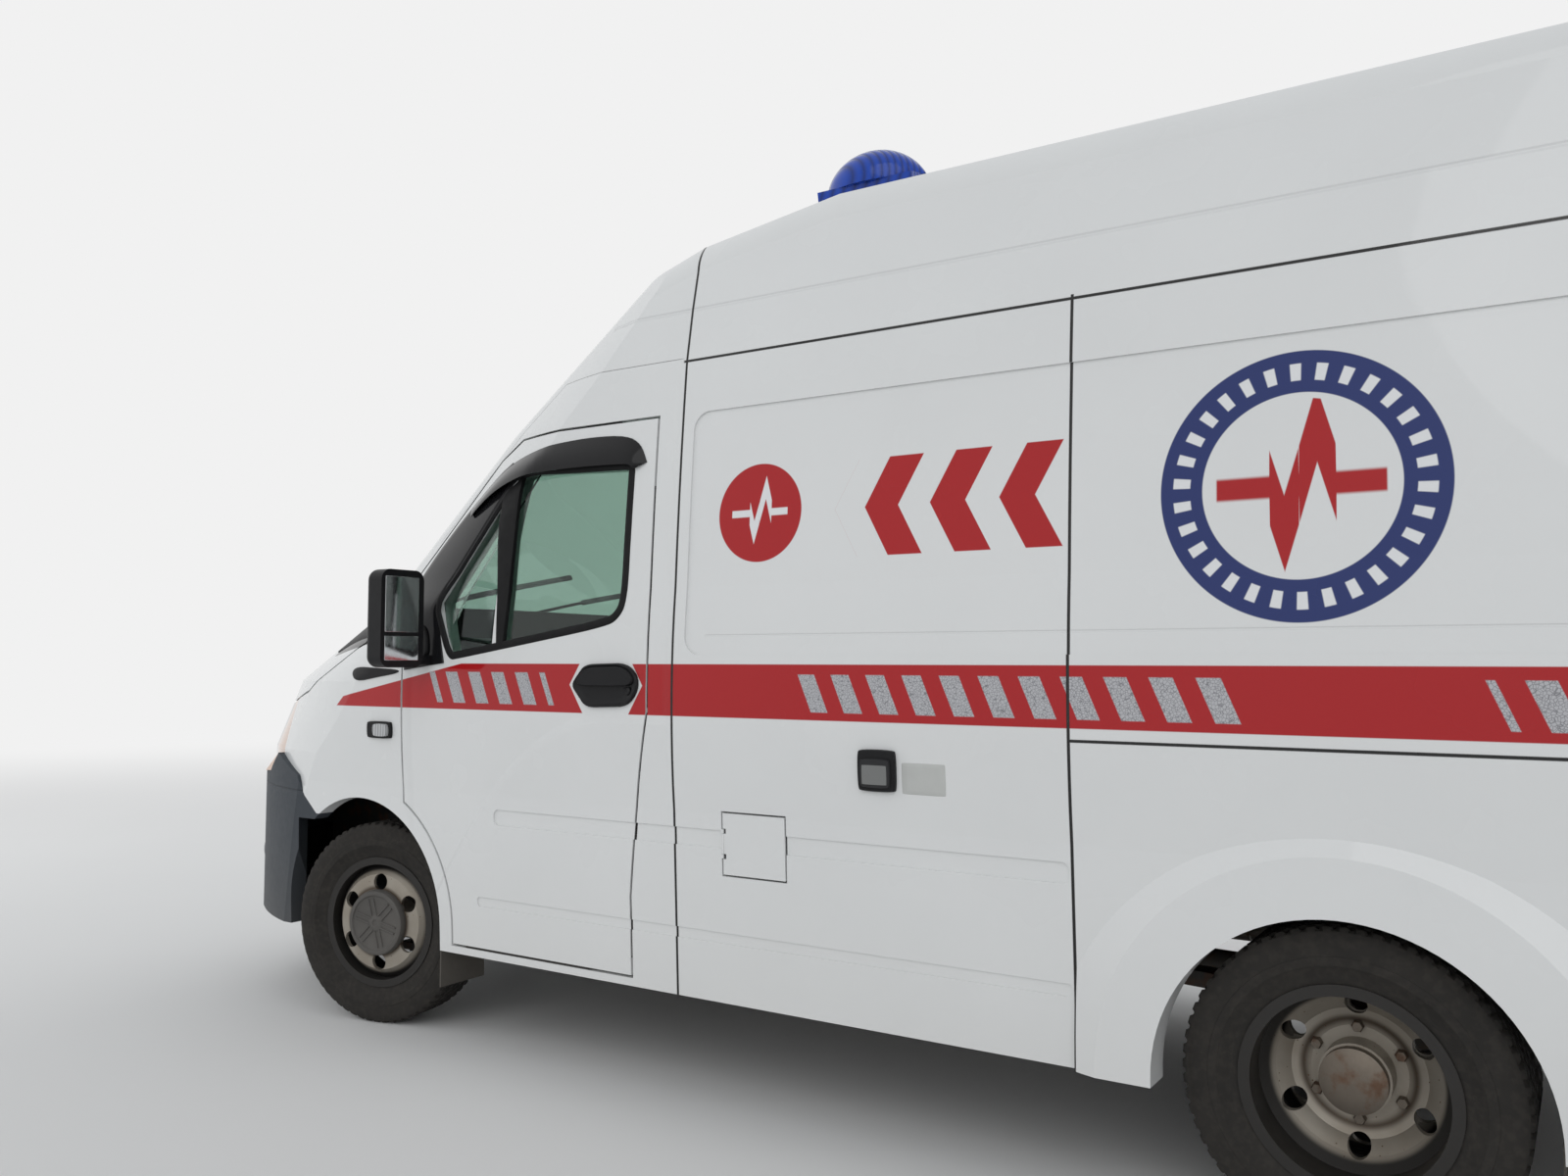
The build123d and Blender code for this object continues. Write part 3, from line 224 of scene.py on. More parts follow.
def round_box(low, high, radius, across=28, up=14):
    """A rounded box: a small sphere's points, each moved out by the box's half size to the side it faces."""
    u = (np.arange(across) + 0.5) * 2 * math.pi / across
    v = np.linspace(-math.pi / 2, math.pi / 2, up * 2)
    u, v = np.meshgrid(u, v)
    way = np.stack([np.cos(v) * np.cos(u), np.cos(v) * np.sin(u), np.sin(v)], -1)
    half = (np.array(high) - np.array(low)) / 2
    middle = (np.array(high) + np.array(low)) / 2
    points = middle + np.sign(way) * (half - radius) + way * radius
    return patch(points, close_v=True, caps=True)


def smooth_loop(corners, passes=3, closed=True):
    """A corner-cut outline: each pass puts two points on every side, a quarter and three quarters along."""
    points = np.array(corners, float)
    for _ in range(passes):
        after = np.roll(points, -1, 0) if closed else points[1:]
        here = points if closed else points[:-1]
        cut = np.stack([0.75 * here + 0.25 * after, 0.25 * here + 0.75 * after], 1)
        cut = cut.reshape(-1, points.shape[1])
        points = cut if closed else np.concatenate([points[:1], cut, points[-1:]])
    return points


def sweep(path, normals, profile, closed=True):
    """A profile of (sideways, outward) carried along a path: points are the path's plus shares of both."""
    path, profile = np.asarray(path, float), np.asarray(profile, float)
    if closed:
        tangent = np.roll(path, -1, 0) - np.roll(path, 1, 0)
    else:
        tangent = np.gradient(path, axis=0)
    tangent /= np.linalg.norm(tangent, axis=1)[:, None]
    normals = np.broadcast_to(np.asarray(normals, float), path.shape)
    sideways = np.cross(tangent, normals)
    sideways /= np.linalg.norm(sideways, axis=1)[:, None]
    outward = np.cross(sideways, tangent)
    points = (path[:, None] + profile[None, :, 0:1] * sideways[:, None]
              + profile[None, :, 1:2] * outward[:, None])
    return patch(points, close_u=closed, close_v=True, caps=not closed)


def bead(half_width, height, sink=0.002, steps=9):
    """A low rounded rib's profile: a half ellipse above the surface with a flat foot sunk below it."""
    angle = np.linspace(0.0, math.pi, steps)
    top = np.stack([half_width * np.cos(angle), height * np.sin(angle)], -1)
    foot = np.array([[-half_width, -sink], [half_width, -sink]])
    return np.concatenate([top, foot])


def oval(half_width, half_height, steps=10):
    """A closed oval profile: the half-width times the cosine and the half-height times the sine of a turn."""
    angle = np.linspace(0, 2 * math.pi, steps, endpoint=False)
    return np.stack([half_width * np.cos(angle), half_height * np.sin(angle)], -1)


def on_side(outline, side, out=0.0):
    """Points of the side skin for an (X, Z) outline: Y is the body's half-width there plus out."""
    outline = np.asarray(outline, float)
    y = side * (side_half(outline[..., 0], outline[..., 1]) + out)
    return np.stack([outline[..., 0], y, outline[..., 1]], -1)


# Faces of thin plates as (share of the way to the middle, share of the thickness)
ROUNDED = ((0.0, 0.0), (0.0, 0.55), (0.015, 0.85), (0.05, 1.0), (0.3, 1.0), (0.6, 1.0), (1.0, 1.0))
CUPPED = ((0.0, 0.0), (0.0, 0.7), (0.03, 1.0), (0.09, 1.0), (0.16, 0.62), (0.3, 0.46), (0.6, 0.42),
          (1.0, 0.42))


def plate(outline, place, thickness, face=ROUNDED):
    """A thin closed plate within an outline: rings shrink to the middle and rise by the face's shares of the
    thickness, and the back is the same outline at no height."""
    outline = np.asarray(outline, float)
    rows = np.array([(1.0, 0.0), (0.5, 0.0), *face])
    share, height = rows[:, 0, None, None], rows[:, 1, None] * thickness
    flat = outline[None] * (1 - share) + outline.mean(0) * share
    return patch(place(flat, height), close_v=True)


def strip(outer, inner, side, height, foot=0.004):
    """A closed strip on one side's skin between two lines of (X, Z): across it the points go evenly from the
    outer line to the inner one, their edges rounded down from the height to the foot below the skin."""
    outer, inner = np.asarray(outer, float)[:, None], np.asarray(inner, float)[:, None]
    rows = np.array([(0.0, -foot), (0.0, height * 0.5), (0.03, height * 0.85), (0.12, height), (0.5, height),
                     (0.88, height), (0.97, height * 0.85), (1.0, height * 0.5), (1.0, -foot), (0.5, -foot)])
    share = rows[None, :, 0, None]
    flat = outer * (1 - share) + inner * share
    return patch(on_side(flat, side, rows[None, :, 1]), close_v=True, caps=True)


def on_skin(side, foot=0.003):
    """Gives the place of plates on one side's skin, their backs sunk into it by foot."""
    def place(flat, out):
        return on_side(flat, side, out - foot)
    return place


def turned(profile, centre, axis, steps=96):
    """A profile of (radius, offset) spun about an axis: radius times a turning unit vector, plus the
    offset along the axis."""
    axis = np.array(axis, float) / np.linalg.norm(axis)
    first = np.cross(axis, [0.0, 0.0, 1.0])
    first /= np.linalg.norm(first)
    second = np.cross(axis, first)
    angle = np.arange(steps) * 2 * math.pi / steps
    ring = np.cos(angle)[:, None] * first + np.sin(angle)[:, None] * second
    profile = np.asarray(profile, float)
    points = (np.array(centre)[None, None] + ring[:, None] * profile[None, :, 0:1]
              + axis[None, None] * profile[None, :, 1:2])
    return points


# Materials

class Shade:
    """A material under construction: each method adds a node and gives its output."""

    def __init__(self, name, metallic=0.0, roughness=0.5, **constants):
        self.material = bpy.data.materials.new(name)
        self.material.use_nodes = True
        self.nodes = self.material.node_tree.nodes
        self.links = self.material.node_tree.links
        self.bsdf = self.nodes["Principled BSDF"]
        self.bsdf.inputs["Metallic"].default_value = metallic
        self.bsdf.inputs["Roughness"].default_value = roughness
        for socket, value in constants.items():
            self.bsdf.inputs[socket.replace("_", " ")].default_value = value
        self.where = self.nodes.new("ShaderNodeTexCoord")
        self.place = self.where.outputs["Object"]
        split = self.nodes.new("ShaderNodeSeparateXYZ")
        self.links.new(self.place, split.inputs[0])
        self.x, self.y, self.z = split.outputs

    def feed(self, socket, value):
        if isinstance(value, bpy.types.NodeSocket):
            self.links.new(value, socket)
        elif hasattr(value, "__len__"):
            socket.default_value = (*value[:3], 1.0)
        else:
            socket.default_value = value

    def math(self, operation, a, b=0.0, c=0.0):
        node = self.nodes.new("ShaderNodeMath")
        node.operation = operation
        for socket, value in zip(node.inputs, (a, b, c)):
            self.feed(socket, value)
        return node.outputs[0]

    def step(self, value, edge, soft=0.0015):
        """0 below the edge and 1 above it, eased over soft on both sides."""
        node = self.nodes.new("ShaderNodeMapRange")
        node.interpolation_type = "SMOOTHSTEP"
        self.feed(node.inputs["Value"], value)
        for socket, shift in (("From Min", -soft), ("From Max", soft)):
            if isinstance(edge, bpy.types.NodeSocket):
                self.feed(node.inputs[socket], self.math("ADD", edge, shift))
            else:
                node.inputs[socket].default_value = edge + shift
        return node.outputs[0]

    def below(self, value, edge, soft=0.0015):
        """1 below the edge and 0 above it."""
        return self.math("SUBTRACT", 1.0, self.step(value, edge, soft))

    def band(self, value, low, high, soft=0.0015):
        """1 between low and high."""
        return self.math("SUBTRACT", self.step(value, low, soft), self.step(value, high, soft))

    def both(self, *masks):
        """The product of the masks."""
        total = masks[0]
        for mask in masks[1:]:
            total = self.math("MULTIPLY", total, mask)
        return total

    def either(self, *masks):
        """The largest of the masks."""
        total = masks[0]
        for mask in masks[1:]:
            total = self.math("MAXIMUM", total, mask)
        return total

    def without(self, mask, cut):
        return self.both(mask, self.math("SUBTRACT", 1.0, cut))

    def length(self, across, up):
        """The root of the sum of the squares."""
        squares = [self.math("MULTIPLY", value, value) for value in (across, up)]
        return self.math("SQRT", self.math("ADD", *squares))

    def distance(self, x, z):
        """Distance in side view from (x, z)."""
        return self.length(self.math("SUBTRACT", self.x, x), self.math("SUBTRACT", self.z, z))

    def outward(self):
        """1 on faces that look away from the van's middle plane: the normal's Y times the sign of Y."""
        normal = self.nodes.new("ShaderNodeSeparateXYZ")
        self.links.new(self.where.outputs["Normal"], normal.inputs[0])
        return self.step(self.math("MULTIPLY", self.math("SIGN", self.y), normal.outputs["Y"]), 0.05, 0.05)

    def ribbing(self, value, turns):
        """Rounded ribs: the absolute sine of the value times turns."""
        return self.math("ABSOLUTE", self.math("SINE", self.math("MULTIPLY", value, turns)))

    def noise(self, scale, detail=4.0, stretch=(1.0, 1.0, 1.0)):
        mapping = self.nodes.new("ShaderNodeMapping")
        mapping.inputs["Scale"].default_value = stretch
        self.links.new(self.place, mapping.inputs["Vector"])
        node = self.nodes.new("ShaderNodeTexNoise")
        node.inputs["Scale"].default_value = scale
        node.inputs["Detail"].default_value = detail
        self.links.new(mapping.outputs[0], node.inputs["Vector"])
        return node.outputs["Fac"]

    def cells(self, scale, feature="F1", stretch=(1.0, 1.0, 1.0)):
        mapping = self.nodes.new("ShaderNodeMapping")
        mapping.inputs["Scale"].default_value = stretch
        self.links.new(self.place, mapping.inputs["Vector"])
        node = self.nodes.new("ShaderNodeTexVoronoi")
        node.feature = feature
        node.inputs["Scale"].default_value = scale
        self.links.new(mapping.outputs[0], node.inputs["Vector"])
        return node.outputs["Distance"]

    def mix(self, share, a, b):
        node = self.nodes.new("ShaderNodeMix")
        node.data_type = "RGBA"
        self.feed(node.inputs["Factor"], share)
        self.feed(node.inputs["A"], a)
        self.feed(node.inputs["B"], b)
        return node.outputs["Result"]

    def scaled(self, value, low, high):
        """Moves a value of 0 to 1 into low to high."""
        return self.math("MULTIPLY_ADD", value, high - low, low)

    def colour(self, value):
        self.feed(self.bsdf.inputs["Base Color"], value)
        return self

    def rough(self, value):
        self.feed(self.bsdf.inputs["Roughness"], value)
        return self

    def bump(self, height, strength=1.0, distance=1.0):
        """Lifts the surface by height, in metres times distance."""
        node = self.nodes.new("ShaderNodeBump")
        node.inputs["Strength"].default_value = strength
        node.inputs["Distance"].default_value = distance
        self.feed(node.inputs["Height"], height)
        self.links.new(node.outputs[0], self.bsdf.inputs["Normal"])
        return self

    def dust(self, top=0.75, most=0.55):
        """Road dust: thick near the ground, fading out towards top, broken up by noise."""
        low = self.below(self.z, top / 2, top / 2)
        patchy = self.math("MULTIPLY", low, self.scaled(self.noise(3.0, 4.0), 0.3, 1.0))
        return self.math("MULTIPLY", patchy, most)


def paint(settings):
    """White panels with the red side band, slanted reflective bars, the round badges, pressed panel lines
    and black corner trim."""
    s = Shade("body_paint", roughness=0.32, Coat_Weight=0.6, Coat_Roughness=0.03, Specular_IOR_Level=0.12)
    wide = s.math("ABSOLUTE", s.y)
    side = s.both(s.step(wide, 0.90), s.below(s.z, 2.14), s.outward())
    # Band: its top falls towards the front wing and ends in a point
    fall = s.math("MULTIPLY_ADD", s.x, -0.1935, 1.4805)
    tip = s.math("MULTIPLY_ADD", s.x, -0.867, 2.7225)
    top = s.math("MINIMUM", s.math("MINIMUM", fall, tip), settings.band_top)
    stripe = s.both(side, s.step(s.z, settings.band_bottom), s.below(s.z, top))
    # White six-sided field round the door handle
    from_grip = s.math("ADD", s.math("ABSOLUTE", s.math("SUBTRACT", s.x, HANDLE_FIELD[0])),
                       s.math("MULTIPLY", s.math("ABSOLUTE", s.math("SUBTRACT", s.z, HANDLE_FIELD[1])), 0.62))
    field = s.below(from_grip, 0.142)
    stripe = s.without(stripe, field)
    on_rear = s.below(s.x, REAR_WALL_X + 0.012)
    rear = s.both(on_rear, s.band(s.z, settings.band_bottom, settings.band_top))
    stripe = s.either(stripe, s.without(rear, s.step(wide, 0.985)))
    # Reflective slanted bars where the band carries its marking
    slant = s.math("MULTIPLY_ADD", s.z, -0.42, s.x)
    turn = s.math("FRACT", s.math("DIVIDE", slant, settings.bar_pitch))
    bars = s.band(turn, 0.22, 0.74, 0.012)
    marked = ((0.370, 0.890), (-1.690, -0.555), (-3.000, -2.165))
    zones = s.either(*(s.band(slant, rear_end, front_end) for rear_end, front_end in marked))
    inside = s.band(s.z, 1.112, 1.212)
    bars = s.both(bars, zones, inside, side)
    bars = s.without(bars, field)
    comb = s.step(s.cells(150.0, "DISTANCE_TO_EDGE"), 0.06, 0.05)
    silver = s.mix(comb, (0.22, 0.22, 0.235), (0.50, 0.50, 0.52))
    # Round call badge with a pulse line, and chevrons beside it
    disc = s.both(side, s.below(s.distance(*CALL_BADGE), CALL_RADIUS))

    def peak(u, middle, half):
        """A triangle of height 1 over the middle: 1 less the distance over the half-width, never below 0."""
        away = s.math("ABSOLUTE", s.math("SUBTRACT", u, middle))
        return s.math("MAXIMUM", s.math("MULTIPLY_ADD", away, -1 / half, 1.0), 0.0)

    def pulse(middle, size, thick):
        """A level line that leaps up and then down once: its slope thickens it."""
        u = s.math("DIVIDE", s.math("SUBTRACT", s.x, middle[0]), size)
        v = s.math("DIVIDE", s.math("SUBTRACT", s.z, middle[1]), size)
        up, down = peak(u, -0.16, 0.16), peak(u, 0.13, 0.13)
        line = s.math("SUBTRACT", s.math("MULTIPLY", up, 0.56), s.math("MULTIPLY", down, 0.44))
        steep = s.step(s.math("ADD", up, down), 0.01, 0.01)
        width = s.scaled(steep, thick, thick * 3.4)
        near = s.math("SUBTRACT", width, s.math("ABSOLUTE", s.math("SUBTRACT", v, line)))
        return s.both(s.step(near, 0.0, 0.02), s.band(u, -0.74, 0.74, 0.01))

    disc_mark = s.both(disc, pulse(CALL_BADGE, 0.125, 0.075))
    lean = s.math("MULTIPLY_ADD", s.math("ABSOLUTE", s.math("SUBTRACT", s.z, CHEVRON_Z)), 0.55, s.x)
    arrow = s.math("FRACT", s.math("DIVIDE", s.math("ADD", lean, 0.715), 0.190))
    row = s.band(s.z, CHEVRON_Z - CHEVRON_HALF, CHEVRON_Z + CHEVRON_HALF)
    chevrons = s.both(side, s.band(lean, -0.710, -0.145), row, s.band(arrow, 0.0, 0.52, 0.006))
    # Large ring badge with ticks and a red pulse line
    ring_at = s.distance(*RING_BADGE)
    ring = s.both(side, s.band(ring_at, settings.ring_inner, settings.ring_outer))
    beside, over = s.math("SUBTRACT", s.x, RING_BADGE[0]), s.math("SUBTRACT", s.z, RING_BADGE[1])
    turn_round = s.math("ARCTAN2", over, beside)
    tick_at = s.math("FRACT", s.math("MULTIPLY", turn_round, 30 / (2 * math.pi)))
    ticks = s.both(side, s.band(ring_at, 0.232, 0.270), s.band(tick_at, 0.2, 0.62, 0.03))
    heart_line = s.both(side, s.below(ring_at, 0.192), pulse(RING_BADGE, 0.235, 0.105))
    red = s.either(stripe, s.without(disc, disc_mark), chevrons, heart_line)
    # Seams where fixed panels meet
    level = s.below(s.x, 0.392, 0.004)
    seams = [
        s.both(side, s.band(s.x, -0.8015, -0.7945, 0.001)),
        s.both(s.band(s.x, 0.3775, 0.3845, 0.001), s.step(wide, 0.30)),
        s.both(s.band(s.z, 2.1265, 2.1335, 0.001), level, s.step(wide, 0.90)),
        s.both(side, s.band(s.z, 1.0585, 1.0650, 0.001), s.below(s.x, -0.798)),
    ]
    right = s.both(side, s.below(s.y, 0.0))
    tall, long = s.band(s.z, 0.3425, 2.0625, 0.001), s.band(s.x, -0.7725, 0.3525, 0.001)
    for edge in (-0.770, 0.350):
        seams.append(s.both(right, tall, s.band(s.x, edge - 0.0025, edge + 0.0025, 0.001)))
    for edge in (0.345, 2.060):
        seams.append(s.both(right, long, s.band(s.z, edge - 0.0025, edge + 0.0025, 0.001)))
    seam = s.either(*seams)
    # Pressed forms: the fine crease, the door's arched ridge, the roof side's crease and the roof's ribs
    fine = s.both(side, s.band(s.z, 1.3165, 1.3215, 0.002), s.below(s.x, 0.270))
    reach = s.math("MAXIMUM", s.math("SUBTRACT", s.x, 0.62), 0.0)
    arch_line = s.math("MULTIPLY_ADD", s.math("MULTIPLY", reach, reach), -1.02, 1.077)
    ridge = s.both(side, s.step(s.z, arch_line, 0.016), s.band(s.x, 0.40, 1.50, 0.02))
    crease = s.both(s.band(s.z, 2.286, 2.294, 0.004), s.step(wide, 0.90))
    ribs = s.both(s.step(s.z, 2.50), s.band(s.math("FRACT", s.math("DIVIDE", s.y, 0.22)), 0.30, 0.70, 0.10),
                  s.below(s.x, -0.25, 0.05), s.below(wide, 0.62))
    height = s.math("MULTIPLY", fine, -0.0015)
    lifts = ((ridge, -0.006), (crease, -0.003), (ribs, 0.007), (seam, -0.004), (stripe, 0.00025),
             (disc, 0.00025))
    for mask, lift in lifts:
        height = s.math("MULTIPLY_ADD", mask, lift, height)
    height = s.math("MULTIPLY_ADD", s.noise(220.0, 2.0), 0.000005, height)
    # Black corner trim where the bonnet's rear end, the pillar's foot and the wing meet
    foot_edge = s.math("MULTIPLY_ADD", s.z, 0.737, 0.694)
    low_edge = s.math("MULTIPLY_ADD", s.x, -0.1455, 1.564)
    corner = s.both(s.step(s.x, foot_edge), s.below(s.x, 2.078), s.step(wide, 0.862),
                    s.step(s.z, low_edge), s.below(s.z, 1.462))
    knuckle = s.both(s.band(s.x, 1.800, 1.903), s.band(wide, 0.820, 0.870), s.band(s.z, 1.200, 1.410))
    # Colours from the bottom layer up
    shade = s.mix(s.noise(2.2, 3.0), settings.white, tuple(c * 0.93 for c in settings.white))
    shade = s.mix(ring, shade, settings.navy)
    pale = (0.80, 0.81, 0.82)
    shade = s.mix(s.both(ticks, ring), shade, pale)
    shade = s.mix(red, shade, settings.red)
    shade = s.mix(disc_mark, shade, pale)
    shade = s.mix(bars, shade, silver)
    soil = s.dust(0.80, 0.20)
    shade = s.mix(soil, shade, (0.42, 0.38, 0.32))
    shade = s.mix(seam, shade, (0.012, 0.012, 0.012))
    s.colour(s.mix(s.either(corner, knuckle), shade, (0.010, 0.010, 0.011)))
    s.rough(s.math("ADD", s.scaled(s.noise(4.0, 3.0), 0.25, 0.29), s.math("MULTIPLY", soil, 0.6)))
    s.bump(height)
    return s.material


def moulded(name, colour, grain=900.0, depth=0.00003, roughness=0.5, dirt=0.25, top=0.9, fade=0.0):
    """Moulded plastic or rubber: a fine leather grain, faint mottling and dust that settles low."""
    s = Shade(name, roughness=roughness, Specular_IOR_Level=0.22)
    pale = tuple(min(c * 1.6 + 0.003 + fade, 1.0) for c in colour)
    tone = s.mix(s.math("MULTIPLY", s.noise(6.0, 5.0), 0.6), colour, pale)
    s.colour(s.mix(s.dust(top, dirt), tone, (0.30, 0.27, 0.23)))
    s.rough(s.scaled(s.noise(40.0, 3.0), roughness * 0.84, roughness * 1.24))
    s.bump(s.math("MULTIPLY", s.cells(grain), depth * 2))
    return s.material


def glass(name, tint, roughness=0.01, film=False):
    """Tinted toughened glass with faint wipe marks; a film makes it milky."""
    s = Shade(name, roughness=roughness, Transmission_Weight=1.0, IOR=1.45)
    s.colour(s.mix(s.noise(3.0, 2.0), tint, tuple(c * 0.94 for c in tint)))
    streak = s.noise(10.0, 6.0, (1.0, 1.0, 0.25))
    low, high = (0.35, 0.5) if film else (0.0, roughness)
    s.rough(s.scaled(s.step(streak, 0.56, 0.1), low, high))
    return s.material


def metal(name, colour, roughness=0.35, rust=0.0, metallic=0.9, dirt=0.4):
    """Steel or aluminium: a rolled grain, blotches of rust and dust near the road."""
    s = Shade(name, metallic=metallic, roughness=roughness)
    blotch = s.step(s.noise(22.0, 8.0), 0.58, 0.10)
    tone = s.mix(s.noise(5.0, 4.0), colour, tuple(c * 0.75 for c in colour))
    tone = s.mix(s.math("MULTIPLY", blotch, rust), tone, (0.16, 0.065, 0.028))
    s.colour(s.mix(s.dust(0.7, dirt), tone, (0.27, 0.24, 0.20)))
    s.rough(s.math("ADD", s.scaled(s.noise(120.0, 4.0), roughness - 0.08, roughness + 0.14),
                   s.math("MULTIPLY", blotch, rust * 0.35)))
    s.bump(s.math("MULTIPLY", s.noise(260.0, 4.0), 0.00005))
    return s.material


def tyre_rubber(settings):
    """Tread rubber: worn grey on the tread, moulded rings on the walls, brown dust all over."""
    s = Shade("tyre_rubber", roughness=0.82, Specular_IOR_Level=0.25)
    dusty = s.scaled(s.noise(12.0, 6.0), 0.0, 0.6)
    fine = s.step(s.noise(60.0, 5.0), 0.55, 0.14)
    tone = s.mix(s.math("MULTIPLY", dusty, 0.40), settings.rubber, (0.085, 0.074, 0.062))
    s.colour(s.mix(s.math("MULTIPLY", fine, 0.10), tone, (0.12, 0.104, 0.086)))
    s.rough(s.scaled(s.noise(30.0, 4.0), 0.70, 0.90))
    s.bump(s.math("MULTIPLY", s.noise(240.0, 4.0), 0.00010))
    return s.material


def wheel_paint(settings):
    """Silver paint on the wheel discs, browned by brake dust and chipped, with grime and painted shade near
    black in the flanges.
    """
    s = Shade("wheel_paint", metallic=0.45, roughness=0.45)
    steered = s.math("MULTIPLY_ADD", s.math("SIGN", s.y), -0.034, FRONT_AXLE_X - REAR_AXLE_X)
    axle = s.math("MULTIPLY_ADD", s.step(s.x, 0.0), steered, REAR_AXLE_X)
    away = s.distance(axle, AXLE_Z)
    brown = s.scaled(s.noise(9.0, 6.0), 0.0, 1.0)
    chips = s.step(s.cells(55.0), 0.09, 0.03)
    tone = s.mix(s.math("MULTIPLY", brown, 0.75), settings.steel, (0.17, 0.130, 0.085))
    tone = s.mix(s.band(away, 0.108, 0.122, 0.008), tone, (0.075, 0.055, 0.038))
    tone = s.mix(chips, (0.10, 0.055, 0.03), tone)
    # Near black beyond the disc: grime with painted shade where the rim's barrel lies in shadow
    s.colour(s.mix(s.step(away, 0.176, 0.006), tone, (0.030, 0.028, 0.026)))
    s.rough(s.scaled(s.noise(24.0, 5.0), 0.38, 0.62))
    s.bump(s.math("MULTIPLY", s.noise(160.0, 4.0), 0.00008))
    return s.material


def lens(name, colour, flute):
    """A moulded lamp lens: vertical flutes under a glossy face, with painted shade darkening the grooves
    between them.
    """
    s = Shade(name, roughness=0.08, Coat_Weight=0.35, Coat_Roughness=0.02, Specular_IOR_Level=0.2)
    across = s.math("ADD", s.y, s.math("MULTIPLY", s.x, 0.5))
    wave = s.ribbing(across, flute * 3.0)
    # Painted shade: the colour darkens in the grooves between the flutes
    s.colour(s.mix(wave, tuple(c * 0.45 for c in colour), colour))
    s.rough(s.scaled(s.noise(50.0, 3.0), 0.06, 0.16))
    s.bump(s.math("MULTIPLY", wave, 0.0014))
    return s.material


def tail_lens():
    """A tall rear lamp: red at top and bottom, amber and clear bands between, ribbed across."""
    s = Shade("tail_lens", roughness=0.10, Coat_Weight=1.0, Coat_Roughness=0.03)
    amber = s.band(s.z, 1.010, 1.085)
    clear = s.band(s.z, 0.930, 1.005)
    dark = s.either(*(s.band(s.z, low, low + 0.005, 0.001) for low in (1.005, 1.085, 0.925)))
    tone = s.mix(amber, (0.50, 0.015, 0.012), (0.62, 0.20, 0.01))
    tone = s.mix(clear, tone, (0.62, 0.62, 0.62))
    rib = s.ribbing(s.y, 420.0)
    row = s.ribbing(s.z, 300.0)
    tone = s.mix(s.math("MULTIPLY", rib, 0.45), tone, (0.08, 0.01, 0.01))
    s.colour(s.mix(dark, tone, (0.01, 0.01, 0.01)))
    s.bump(s.math("MULTIPLY", s.math("ADD", rib, row), 0.0012))
    return s.material


def head_lens():
    """A headlamp seen through its cover: two bowls whose painted reflection is brightest in their middles, in
    a dark ribbed housing with painted highlights on its ribs, a bright rim round each bowl and an amber outer
    corner."""
    s = Shade("head_lens", roughness=0.06, Coat_Weight=1.0, Coat_Roughness=0.02)
    wide = s.math("ABSOLUTE", s.y)
    rib = s.ribbing(s.z, 190.0)
    # Painted highlight: the housing's rib crests are painted lighter than its grooves
    tone = s.mix(s.math("MULTIPLY", rib, 0.6), (0.030, 0.032, 0.036), (0.085, 0.088, 0.094))
    tone = s.mix(s.step(wide, 0.868, 0.003), tone, (0.46, 0.17, 0.02))
    height = s.math("MULTIPLY", rib, 0.0008)
    for y, z, radius in BOWLS:
        across, up = s.math("SUBTRACT", wide, y), s.math("SUBTRACT", s.z, z)
        share = s.math("DIVIDE", s.length(across, up), radius)
        facet = s.ribbing(s.math("ARCTAN2", up, across), 14.0)
        # Painted reflection: each bowl is painted brightest in its middle, fading towards its edge
        bright = s.math("MULTIPLY", s.math("SUBTRACT", 1.0, share), s.scaled(facet, 0.75, 1.0))
        bowl = s.mix(bright, (0.13, 0.135, 0.14), (0.80, 0.81, 0.82))
        inside = s.below(share, 1.0, 0.04)
        tone = s.mix(inside, tone, bowl)
        tone = s.mix(s.band(share, 1.0, 1.09, 0.02), tone, (0.50, 0.51, 0.52))
        tone = s.mix(s.band(share, 0.20, 0.27, 0.02), tone, (0.10, 0.10, 0.11))
        dished = s.math("MULTIPLY", inside, s.math("MULTIPLY", share, share))
        height = s.math("MULTIPLY_ADD", dished, 0.006, height)
    s.colour(tone)
    s.rough(s.scaled(s.noise(40.0, 3.0), 0.04, 0.12))
    s.bump(height)
    return s.material


